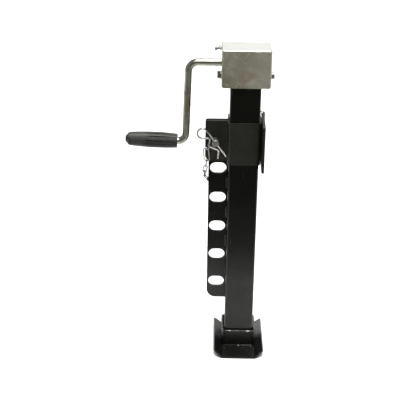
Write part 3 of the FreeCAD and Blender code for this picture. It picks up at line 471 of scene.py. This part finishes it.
def bright_zinc(name, rgb, rough, dark=0.35, streak=(1.0, 1.0, 1.0), dull_left_of=None, dark_reflection=None):
    """Bright zinc over drawn bar: faint draw lines, grey bloom, small dark pits. Left of the x given as
    dull_left_of the zinc is dull from handling. The last argument, an (x, y, z, radius), marks a brownish
    patch of painted dark reflection."""
    f = Finish(name)
    bloom = f.step(f.noise(60, 5), 0.40, 0.68)
    base = f.mix(bloom, rgb, scaled(rgb, 0.74))
    if dull_left_of is not None:
        across = f.axis("X")
        handled = 1.0 - f.step(across, dull_left_of - 0.001, dull_left_of + 0.003)
        base = f.mix(handled, base, scaled(rgb, HANDLED_SHARE))
    # Painted dark reflection: a darker brownish patch for the dark parts the arm reflects.
    if dark_reflection:
        *spot, radius = dark_reflection
        away = f.away(spot)
        brown = (1.0 - f.step(away, radius * 0.35, radius)) * (0.5 + f.step(f.noise(75, 4), 0.38, 0.62) * 0.5)
        base = f.mix(brown * 0.8, base, scaled((rgb[0], rgb[1] * 0.82, rgb[2] * 0.72), 0.62))
    drawn = f.noise(520, 3, where=f.stretch(streak), rough=0.6)
    base = f.mix(f.step(drawn, 0.52, 0.74) * 0.4, base, scaled(rgb, 0.55))
    pits = f.step(f.noise(950, 3, rough=0.65), 0.66, 0.75)
    base = f.mix(pits * dark, base, ZINC_PITS)
    roughness = rough + bloom * 0.12 + drawn * 0.08 + pits * 0.2
    skin = f.bump(drawn, 0.00005)
    return f.close(base, roughness.clamped(), 1.0, skin, Specular_Tint=ZINC_EDGE)


def grip_plastic(grip, middle, tilt):
    """Moulded plastic: fine ribs along the grip from its middle down, two grooves above them on the inner
    half, a satin skin and handling shine. Painted shade: the rib valleys and the grooves are near black,
    which also makes the ribbed lower half darker."""
    f = Finish("grip_plastic")
    local = f.node("Mapping", {"vector_type": "TEXTURE"}, Vector=f.place, Location=tuple(middle),
                   Rotation=(0, tilt, 0))
    along = f.axis("X", local)
    across = f.axis("Y", local)
    up = f.axis("Z", local)
    angle = across.maths("ARCTAN2", up)
    ribs_round = 2 * math.pi * GRIP_RADIUS / grip.rib_pitch
    wave = (angle * round(ribs_round)).maths("COSINE") * 0.5 + 0.5
    lower = f.step(-up, *RIBS_FROM_TOP)
    inner_half = f.step(along, *GROOVES_FROM)
    grooves = 0.0
    for turned in GROOVE_TURNS:
        grooves = (1.0 - f.step((angle - turned).maths("ABSOLUTE"), *GROOVE_EDGE)) + grooves
    grooves = grooves * inner_half
    body = 1.0 - f.step(-along, *RIBS_END)
    ribs = wave * lower * body
    cloud = f.noise(80, 4)
    base = f.mix(f.step(cloud, 0.4, 0.7), tuple(grip.plastic), scaled(tuple(grip.plastic), 1.6))
    # Painted shade: near black in the rib valleys and the grooves.
    base = f.mix(((1.0 - ribs) * lower * 0.75 + grooves).clamped(), base, (0.003, 0.003, 0.003))
    flow = f.step(f.noise(240, 3, where=f.stretch((0.06, 1, 1))), 0.55, 0.75)
    base = f.mix(flow * 0.3, base, (0.06, 0.06, 0.055))
    rough = 0.44 + cloud * 0.10 + flow * 0.08
    skin = f.bump(ribs - grooves, grip.rib_depth)
    skin = f.bump(f.noise(1400, 2), 0.00004, skin)
    return f.close(base, rough.clamped(), 0.0, skin, IOR=1.49, Specular_IOR_Level=0.26)


def turned_steel(name, rgb, rough, oily=0.3):
    """Machined steel under a film of grease: tool marks and darker smears."""
    f = Finish(name)
    marks = f.noise(700, 2, where=f.stretch((1.0, 1.0, 0.2)))
    smear = f.step(f.noise(55, 4, twist=0.7), 0.45, 0.70)
    base = f.mix(smear * oily, rgb, scaled(rgb, 0.45))
    roughness = rough + marks * 0.12 + smear * 0.15
    return f.close(base, roughness.clamped(), 1.0, f.bump(marks, 0.00004))


def weld_paint(paint):
    """The same black paint over a bead, with pale spatter. Low at the left of the foot it is darker and
    rougher.
    """
    f = Finish("weld_paint")
    spatter = f.step(f.noise(520, 3), 0.62, 0.72)
    shade = f.mix(f.noise(150, 3), scaled(tuple(paint.bracket), 0.9), scaled(tuple(paint.bracket), 2.1))
    shade = f.mix(spatter * 0.35, shade, WELD_SPATTER)
    across = f.axis("X")
    height = f.axis("Z")
    dark_left = (1.0 - f.step(across, *DARK_LEFT_OF)) * (1.0 - f.step(height, *DARK_BELOW))
    shade = f.mix(dark_left * 0.8, shade, DARK_BEAD_TONE)
    rough = (0.30 + spatter * 0.2 + dark_left * 0.4).clamped()
    skin = f.bump(f.noise(420, 3), 0.0002)
    return f.close(shade, rough, 0.0, skin, IOR=1.5, Specular_IOR_Level=0.22)


def dress(names, material):
    for name in names:
        target = NODES[name]
        if not target.material_slots:
            target.data.materials.append(material)
        for place in target.material_slots:
            place.material = material


# ---- Surfaces worked out as arrays

def new_piece(name, rows, faces, material, body=None, stands_for=()):
    mesh = bpy.data.meshes.new(name)
    mesh.from_pydata(rows.tolist(), [], faces.tolist())
    mesh.polygons.foreach_set("use_smooth", np.ones(len(mesh.polygons), bool))
    mesh.validate()
    mesh.update()
    piece = bpy.data.objects.new(name, mesh)
    bpy.context.scene.collection.objects.link(piece)
    mesh.materials.append(material)
    if body:
        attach(piece, body)
    if stands_for:
        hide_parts(*stands_for)
    return piece


def grid_faces(count_u, count_v, closed_u=False, first=0):
    """Quads of a grid whose second direction is closed, and whose first may be."""
    u = np.arange(count_u if closed_u else count_u - 1)
    v = np.arange(count_v)
    a, b = np.meshgrid(u, v, indexing="ij")
    a, b = a.ravel(), b.ravel()
    a2, b2 = (a + 1) % count_u, (b + 1) % count_v
    return first + np.stack([a * count_v + b, a2 * count_v + b, a2 * count_v + b2, a * count_v + b2], 1)


def bead(path, leg_a, leg_b, ripple, swell, closed=False):
    """A fillet bead along a path. Its section goes from the corner out along leg_a, over a bulging
    front and back along leg_b. Ripples: each section grows by swell times the fourth root of
    |sin(pi s / ripple)|, where s is the way along the path. An open bead's ends shrink to a point
    along a quarter circle."""
    count = len(path)
    gone = np.concatenate([[0], np.cumsum(np.linalg.norm(np.diff(path, axis=0), axis=1))])
    ripples = np.abs(np.sin(math.pi * gone / ripple)) ** 0.25
    size = 1 - swell + swell * ripples
    if not closed:
        end_run = min(BEAD_END, gone[-1] / 4)
        near = np.clip(np.minimum(gone, gone[-1] - gone) / end_run, 0, 1)
        size = size * np.sqrt(np.clip(1 - (1 - near) ** 2, 1e-6, 1))
    turn = np.linspace(0, math.pi / 2, BEAD_POINTS)
    a_share = np.concatenate([[-BEAD_SINK], np.cos(turn) ** BEAD_BULGE])
    b_share = np.concatenate([[-BEAD_SINK], np.sin(turn) ** BEAD_BULGE])
    legs_a = np.broadcast_to(leg_a, (count, 3))
    legs_b = np.broadcast_to(leg_b, (count, 3))
    rows = path[:, None] + size[:, None, None] * (legs_a[:, None] * a_share[None, :, None]
                                                  + legs_b[:, None] * b_share[None, :, None])
    return rows.reshape(-1, 3), grid_faces(count, len(a_share), closed)


def joined(parts):
    """Stacks several grids into one mesh."""
    rows, faces, first = [], [], 0
    for part_rows, part_faces in parts:
        rows.append(part_rows)
        faces.append(part_faces + first)
        first += len(part_rows)
    return np.concatenate(rows), np.concatenate(faces)


def dome(centre, radius, height):
    """Half an ellipsoid on a level place: rings of radius r sin(t) at height h cos(t)."""
    rings, sides = 7, 14
    tilt = np.linspace(0.02, math.pi / 2, rings)
    around = np.linspace(0, 2 * math.pi, sides, endpoint=False)
    rows = np.stack([radius * np.sin(tilt)[:, None] * np.cos(around), radius * np.sin(tilt)[:, None]
                     * np.sin(around), np.broadcast_to(height * np.cos(tilt)[:, None], (rings, sides))], 2)
    return (rows + np.array(centre)).reshape(-1, 3), grid_faces(rings, sides)


def run(start, end, step=0.0006):
    count = max(8, int(np.linalg.norm(np.subtract(end, start)) / step))
    return np.linspace(start, end, count)


def rounded_square(half, radius, z, step=0.0006):
    """Points and outward directions round a square with rounded corners."""
    points, outs = [], []
    flat = half - radius
    for k in range(4):
        turn = np.array([[math.cos(k * math.pi / 2), -math.sin(k * math.pi / 2)],
                         [math.sin(k * math.pi / 2), math.cos(k * math.pi / 2)]])
        side = np.stack([np.full(int(2 * flat / step), half),
                         np.linspace(-flat, flat, int(2 * flat / step), endpoint=False)], 1)
        arc = np.linspace(0, math.pi / 2, max(4, int(radius * 1.57 / step)), endpoint=False)
        corner = np.stack([flat + radius * np.cos(arc), flat + radius * np.sin(arc)], 1)
        points += [side @ turn.T, corner @ turn.T]
        outs += [np.tile([1.0, 0.0], (len(side), 1)) @ turn.T,
                 np.stack([np.cos(arc), np.sin(arc)], 1) @ turn.T]
    points, outs = np.concatenate(points), np.concatenate(outs)
    flat_z = np.full((len(points), 1), z)
    return np.hstack([points, flat_z]), np.hstack([outs, 0 * flat_z])


def loose_solids(name):
    """Vertex arrays of a node's separate solids: labels spread along triangle edges until still."""
    mesh = NODES[name].data
    spots = np.empty(len(mesh.vertices) * 3)
    mesh.vertices.foreach_get("co", spots)
    spots = spots.reshape(-1, 3)
    corners = np.empty(len(mesh.loops), int)
    mesh.loops.foreach_get("vertex_index", corners)
    keys, same = np.unique(np.round(spots * 1e6).astype(np.int64), axis=0, return_inverse=True)
    triangles = same.ravel()[corners].reshape(-1, 3)
    label = np.arange(len(keys))
    while True:
        lowest = label[triangles].min(1)
        fresh = label.copy()
        for k in range(3):
            np.minimum.at(fresh, triangles[:, k], lowest)
        fresh = fresh[fresh]
        if (fresh == label).all():
            break
        label = fresh
    where = keys / 1e6
    return [where[label == k] for k in np.unique(label)]


def solid_boxes(name):
    """Lowest and highest corner of each separate solid of a node."""
    return [(spots.min(0), spots.max(0)) for spots in loose_solids(name)]


def upright_bead(low, high, front, lay):
    """A bead up the corner between a plate and the wall at its right, filling the box from low to high.
    It bulges forwards on the plate's front face and backwards on its rear face."""
    corner_y = high[1] if front else low[1]
    out = low[1] - high[1] if front else high[1] - low[1]
    path = run((high[0], corner_y, low[2]), (high[0], corner_y, high[2]))
    return bead(path, -X * (high[0] - low[0]), Y * out, **lay)


def link_surface(centre, along, face, inner, gap, wire, knuckle):
    """One chain link: a circle carried round a stadium curve. Its radius grows by knuckle times a
    narrow bell on one long side, where the real link's ends are butt-welded."""
    end_r = (gap + wire) / 2
    straight = (inner + wire) / 2 - end_r
    total = 4 * straight + 2 * math.pi * end_r
    s = np.linspace(0, total, LINK_SECTIONS, endpoint=False)
    bow = math.pi * end_r
    x = np.empty_like(s)
    y = np.empty_like(s)
    nx = np.empty_like(s)
    ny = np.empty_like(s)
    pieces = [(0, 2 * straight), (2 * straight, 2 * straight + bow), (2 * straight + bow, 4 * straight + bow),
              (4 * straight + bow, total)]
    for k, (low, high) in enumerate(pieces):
        here = (s >= low) & (s < high)
        t = s[here] - low
        if k in (0, 2):
            sign = 1 if k == 0 else -1
            x[here], y[here] = sign * (t - straight), -sign * end_r
            nx[here], ny[here] = 0, -sign
        else:
            sign = 1 if k == 1 else -1
            angle = t / end_r - math.pi / 2
            nx[here], ny[here] = sign * np.cos(angle), sign * np.sin(angle)
            x[here], y[here] = sign * straight + end_r * nx[here], end_r * ny[here]
    radius = wire / 2 * (1 + knuckle * np.exp(-((s - straight) / (0.5 * wire)) ** 2))
    ring = np.linspace(0, 2 * math.pi, LINK_SIDES, endpoint=False)
    side = np.cross(face, along)
    middle = centre + x[:, None] * along + y[:, None] * side
    out = nx[:, None] * along + ny[:, None] * side
    rows = middle[:, None] + radius[:, None, None] * (np.cos(ring)[None, :, None] * out[:, None]
                                                      + np.sin(ring)[None, :, None] * face)
    return rows.reshape(-1, 3), grid_faces(len(s), len(ring), True)


def link_from(spots, knuckle):
    """Reads a link's place and size from its solid: its middle, its longest and its thinnest way."""
    ways = np.linalg.eigh(np.cov((spots - spots.mean(0)).T))[1]
    along, side, face = ways[:, 2], ways[:, 1], ways[:, 0]
    spread = [np.ptp(spots @ way) for way in (along, side, face)]
    centre = sum(way * ((spots @ way).max() + (spots @ way).min()) / 2 for way in (along, side, face))
    wire = spread[2]
    inner, gap = spread[0] - 2 * wire, spread[1] - 2 * wire
    return link_surface(centre, along, face, inner, gap, wire, knuckle), centre


# ---- Operators, one for each piece or group

class LEG_OT_paint(bpy.types.Operator):
    """Paint the tube, the slotted plate, the bracket and the foot"""
    bl_idname = "leg.paint"
    bl_label = "Paint the leg"

    def execute(self, context):
        paint = context.scene.leg_paint
        # The tube's paint gets a painted floor reflection low down.
        dress(TUBE_PAINT, painted("tube_paint", tuple(paint.tube), paint.gloss, paint.wear, shine=0.13,
                                  low_floor_glow=0.027))
        dress(BRACKET_PAINT, painted("bracket_paint", tuple(paint.bracket), paint.satin, paint.wear,
                                     (0, 0.5, 0), stain=0.5, shine=0.25))
        # The foot gets painted glints, a painted highlight on its cup's rim and painted sheen on its lips.
        dress(FOOT_PAINT, painted("foot_paint", tuple(paint.foot), paint.gloss + 0.12, paint.wear,
                                  (1.3, 0, 0), shine=0.2, dusty=0.0, glint_spots=FOOT_GLINT_SPOTS,
                                  rim=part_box("foot_cup")[1][2], sheen_spots=LIP_PAINTED_SHEEN))
        return {"FINISHED"}


class LEG_OT_plating(bpy.types.Operator):
    """Plate the gear cover, the crank, the pin and the small parts"""
    bl_idname = "leg.plating"
    bl_label = "Plate the metal parts"

    def execute(self, context):
        plating = context.scene.leg_plating
        bright = tuple(plating.bright)
        low, high = (Vector(corner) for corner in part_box("gearbox_cover"))
        dress(("gearbox_cover",), cover_zinc(plating, tuple((low + high) / 2), tuple((high - low) / 2)))
        dress(BRIGHT_PIECES, bright_zinc("bright_zinc", bright, plating.bright_rough,
                                         dull_left_of=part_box("slotted_plate")[0][0]))
        dress(RINGS, bright_zinc("ring_zinc", scaled(bright, RING_SHARE), plating.bright_rough, 0.6))
        # The crank's arm gets a painted dark reflection, tinted brown.
        crank_rgb = scaled((bright[0], bright[1], bright[2] * 0.9), CRANK_SHARE)
        dress(("crank_handle",), bright_zinc("crank_zinc", crank_rgb, plating.bright_rough - 0.05, 0.6,
                                             dark_reflection=CRANK_DARK_REFLECTION))
        dress(("lock_pin", "grease_nipple"), bright_zinc("pin_zinc", scaled(bright, PIN_SHARE),
                                                         plating.bright_rough + 0.14, 0.8))
        dress(("inner_tube",), bright_zinc("leg_zinc", scaled(bright, INNER_TUBE_SHARE),
                                           plating.bright_rough + 0.2, 0.5, (1.0, 1.0, 0.1)))
        dress(BLACKENED, turned_steel("blackened_bolt", (0.17, 0.165, 0.165), 0.20, 0.7))
        return {"FINISHED"}


class LEG_OT_inside(bpy.types.Operator):
    """Finish the screw, gears, bearing and bushes inside the leg"""
    bl_idname = "leg.inside"
    bl_label = "Finish the inner parts"

    def execute(self, context):
        dress(TURNED, turned_steel("turned_steel", (0.42, 0.41, 0.39), 0.30))
        dress(BEARING_PIECES, turned_steel("bearing_steel", (0.62, 0.62, 0.62), 0.14, 0.15))
        dress(BUSHES, turned_steel("bush_bronze", (0.48, 0.30, 0.14), 0.30, 0.4))
        return {"FINISHED"}


class LEG_OT_grip(bpy.types.Operator):
    """Give the hand grip its ribbed plastic"""
    bl_idname = "leg.grip"
    bl_label = "Finish the hand grip"

    def execute(self, context):
        low, high = (np.array(v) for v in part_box("hand_grip"))
        middle = (low + high) / 2
        joint = next(j for j in frame["joints"] if j["name"] == "grip_spin")
        tilt = math.atan2(joint["axis"][2], -joint["axis"][0])
        dress(("hand_grip",), grip_plastic(context.scene.leg_grip, middle, tilt))
        return {"FINISHED"}


class LEG_OT_welds(bpy.types.Operator):
    """Lay rippled weld beads over the plain welds"""
    bl_idname = "leg.welds"
    bl_label = "Lay the weld beads"

    def execute(self, context):
        welds = context.scene.leg_welds
        material = weld_paint(context.scene.leg_paint)
        lay = dict(ripple=welds.ripple, swell=welds.swell)

        def place(name, beads, body, node):
            rows, faces = joined(beads)
            new_piece(name, rows, faces, material, body, (node,))

        place("plate_weld_beads", self.plate_stitches(lay), "leg_tube", "plate_welds")
        place("bracket_weld_beads", self.bracket_seams(lay), "bracket", "bracket_welds")
        place("foot_weld_beads", self.foot_seams(lay), "inner_leg", "foot_welds")
        rows, faces = joined(self.spatter())
        new_piece("foot_weld_drops", rows, faces, turned_steel("weld_drop", (0.30, 0.30, 0.28), 0.30),
                  "inner_leg")
        place("gearbox_weld_bead", self.crown(lay), "leg_tube", "gearbox_weld")
        return {"FINISHED"}

    def plate_stitches(self, lay):
        """The short beads between the slotted plate and the tube, on both faces of the plate."""
        plate_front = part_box("slotted_plate")[0][1]
        return [upright_bead(low, high, low[1] < plate_front - HAIR, lay)
                for low, high in solid_boxes("plate_welds")]

    def bracket_seams(self, lay):
        """One bead along each pin flange, and a rounded one along each edge of the mounting plate."""
        flange_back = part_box("pin_flange_front")[1][1]
        seams = []
        for low, high in solid_boxes("bracket_welds"):
            if high[0] < 0:
                seams.append(upright_bead(low, high, high[1] < flange_back, lay))
                continue
            near = abs(low[1]) < abs(high[1])
            inner, outer = (low[1], high[1]) if near else (high[1], low[1])
            middle_x, middle_y = (low[0] + high[0]) / 2, (inner + outer) / 2
            path = run((middle_x, middle_y, low[2]), (middle_x, middle_y, high[2]))
            for sign in (-1, 1):
                for out in (outer - inner, inner - outer):
                    seams.append(bead(path, X * sign * (high[0] - low[0]) / 2, Y * out / 2, **lay))
        return seams

    def foot_seams(self, lay):
        """A closed bead round the inner tube in its cup, and one at the cup's front and rear."""
        cup_low, cup_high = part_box("foot_cup")
        seams = []
        for low, high in solid_boxes("foot_welds"):
            if low[1] * high[1] < 0:
                path, outs = rounded_square(high[0] - CUP_BEAD, TUBE_CORNER, low[2])
                seams.append(bead(path, outs * CUP_BEAD, Z * (high[2] - low[2]), closed=True, **lay))
                continue
            face = cup_low[1] if low[1] < 0 else cup_high[1]
            out = low[1] - face if low[1] < 0 else high[1] - face
            path = run((low[0], face, low[2]), (high[0], face, low[2]))
            lean = np.clip((np.abs(path[:, 0]) - CUP_FLAT) / CUP_ROUND, 0, 1)
            path[:, 1] -= np.sign(out) * CUP_ROUND * (1 - np.sqrt(1 - lean ** 2))
            seams.append(bead(path, Y * out, Z * (high[2] - low[2]), **lay))
        return seams

    def spatter(self):
        """One large drop on the front bead and small ones on the sole before it."""
        cup_front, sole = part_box("foot_cup")[0][1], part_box("foot_cup")[0][2]
        x, ahead, rise, radius, height = BIG_DROP
        drops = [dome((x, cup_front - ahead, sole + rise), radius, height)]
        return drops + [dome((x, cup_front - ahead, sole), radius, radius * DROP_FLATNESS)
                        for x, ahead, radius in SPATTER]

    def crown(self, lay):
        """The bead round the outer tube's top, under the gear housing."""
        low, high = (np.array(v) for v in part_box("gearbox_weld"))
        grow = high[0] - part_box("outer_tube")[1][0]
        path, outs = rounded_square(high[0] - grow, CROWN_CORNER, high[2])
        return [bead(path, outs * grow, Z * (low[2] - high[2]), closed=True, **lay)]


class LEG_OT_chain(bpy.types.Operator):
    """Build the chain's links with their butt welds"""
    bl_idname = "leg.chain"
    bl_label = "Build the chain"

    def execute(self, context):
        """Builds the links in two pieces: those next to the bracket, and the rest between them and the clip.
        """
        plating = context.scene.leg_plating
        material = bright_zinc("chain_zinc", scaled(tuple(plating.bright), CHAIN_SHARE),
                               plating.bright_rough + 0.02, 0.7)
        knuckle = context.scene.leg_chain.knuckle
        links = [(link_from(spots, knuckle), node) for node in ("chain_bracket_side", "chain_clip_side")
                 for spots in loose_solids(node)]
        ring_low, ring_high = (np.array(corner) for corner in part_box("tether_ring"))
        tip, ordered = (ring_low + ring_high) / 2, []
        spot = tip
        while links:
            nearest = min(range(len(links)), key=lambda k: np.linalg.norm(links[k][0][1] - spot))
            ordered.append(links.pop(nearest))
            spot = ordered[-1][0][1]
        ordered.reverse()
        held = sum(node == "chain_bracket_side" for surface, node in ordered)
        start, handover = ordered[0][0][1], ordered[held - 1][0][1]
        for name, share_of, bodies, ends in (
                ("chain_upper", ordered[:held], ("bracket", "pin"), (start, handover)),
                ("chain_lower", ordered[held:], ("pin", "clip"), (handover, tip))):
            rows, faces = joined([surface for (surface, centre), node in share_of])
            piece = new_piece(name, rows, faces, material, None, (share_of[0][1],))
            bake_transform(piece)
        return {"FINISHED"}


class LEG_OT_studio(bpy.types.Operator):
    """Set the pale floor, the soft lights and the camera"""
    bl_idname = "leg.studio"
    bl_label = "Set the studio"

    def execute(self, context):
        studio = context.scene.leg_studio
        self.floor(tuple(studio.floor))
        self.lights(studio)
        self.camera(context)
        return {"FINISHED"}

    def floor(self, rgb):
        """A level disc as rings of points round the leg. It stays under the foot as the leg winds out."""
        rings = np.array(FLOOR_RINGS)
        around = np.linspace(0, 2 * math.pi, FLOOR_SIDES, endpoint=False)
        rows = np.stack([rings[:, None] * np.cos(around), rings[:, None] * np.sin(around),
                         np.full((len(rings), len(around)), -FLOOR_DROP)], 2).reshape(-1, 3)
        f = Finish("pale_floor")
        tone = f.mix(f.step(f.noise(3, 3), 0.3, 0.7), scaled(rgb, 0.985), rgb)
        disc = new_piece("studio_floor", rows, grid_faces(len(rings), len(around)),
                         f.close(tone, 0.75, 0.0))
        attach(disc, "inner_leg")

    def lights(self, studio):
        """A gridded softbox over the floor behind, a tall one at the back, two weak gridded ones above the
        front and a weak one at the left. The grid keeps the floor in front dim, as it is in the black
        paint's reflections."""
        for name, (at, aim, (width, height), spread, power) in SOFTBOXES.items():
            lamp = bpy.data.lights.new(name, "AREA")
            lamp.shape, lamp.size, lamp.size_y = "RECTANGLE", width, height
            lamp.energy, lamp.spread = getattr(studio, power), math.radians(spread)
            holder = bpy.data.objects.new(name, lamp)
            turn = (Vector(aim) - Vector(at)).to_track_quat("-Z", "Y").to_matrix().to_4x4()
            holder.matrix_world = Matrix.Translation(at) @ turn
            bpy.context.scene.collection.objects.link(holder)

        world = bpy.data.worlds.new("studio_walls")
        world.use_nodes = True
        tree = world.node_tree
        way = Flow(tree, tree.nodes.new("ShaderNodeTexCoord").outputs["Generated"])
        split = tree.nodes.new("ShaderNodeSeparateXYZ")
        tree.links.new(way.socket, split.inputs[0])
        depth, height = Flow(tree, split.outputs[1]), Flow(tree, split.outputs[2])
        light = (depth * 0.30 + height * 0.40 + 0.45).clamped() * studio.sky
        tree.links.new(light.socket, tree.nodes["Background"].inputs["Strength"])
        tree.nodes["Background"].inputs["Color"].default_value = (1.0, 1.0, 0.99, 1.0)
        bpy.context.scene.world = world
        bpy.context.scene.view_settings.view_transform = "Standard"

    def camera(self, context):
        """The photograph's viewpoint."""
        pitch, roll, yaw = (math.radians(v) for v in (CAMERA_PITCH, CAMERA_ROLL, CAMERA_YAW))
        forward = np.array([math.sin(yaw) * math.cos(pitch), math.cos(yaw) * math.cos(pitch),
                            -math.sin(pitch)])
        right = np.array([math.cos(yaw), -math.sin(yaw), 0.0])
        up = np.cross(right, forward)
        level = math.cos(roll) * right + math.sin(roll) * up
        top = -math.sin(roll) * right + math.cos(roll) * up
        lens = bpy.data.cameras.new("photo_camera")
        lens.sensor_width, lens.lens, lens.clip_end = CAMERA_SENSOR, CAMERA_LENS, CAMERA_REACH
        holder = bpy.data.objects.new("photo_camera", lens)
        turn = np.stack([level, top, -forward], 1)
        holder.matrix_world = Matrix.Translation(CAMERA_AT) @ Matrix(turn).to_4x4()
        context.scene.collection.objects.link(holder)
        context.scene.camera = holder


class LEG_PT_panel(bpy.types.Panel):
    """Lists the steps that dress the support leg"""
    bl_idname = "LEG_PT_panel"
    bl_label = "Support leg"
    bl_space_type = "VIEW_3D"
    bl_region_type = "UI"
    bl_category = "Support leg"

    def draw(self, context):
        for group, steps in STEPS.items():
            box = self.layout.box()
            for operator in steps:
                box.operator(operator)
            settings = getattr(context.scene, group, None)
            for key in getattr(settings, "__annotations__", {}):
                box.prop(settings, key)


STEPS = {"leg_paint": ("leg.paint",), "leg_plating": ("leg.plating", "leg.inside"), "leg_grip": ("leg.grip",),
         "leg_welds": ("leg.welds",), "leg_chain": ("leg.chain",), "leg_studio": ("leg.studio",)}
CLASSES = (*GROUPS.values(), LEG_OT_paint, LEG_OT_plating, LEG_OT_inside, LEG_OT_grip, LEG_OT_welds,
           LEG_OT_chain, LEG_OT_studio, LEG_PT_panel)


def register():
    for kind in CLASSES:
        bpy.utils.register_class(kind)
    for name, group in GROUPS.items():
        setattr(bpy.types.Scene, name, PointerProperty(type=group))


def unregister():
    for name in GROUPS:
        delattr(bpy.types.Scene, name)
    for kind in reversed(CLASSES):
        bpy.utils.unregister_class(kind)


def main():
    register()
    for steps in STEPS.values():
        for operator in steps:
            kind, name = operator.split(".")
            getattr(getattr(bpy.ops, kind), name)()


if __name__ == "__main__":
    main()
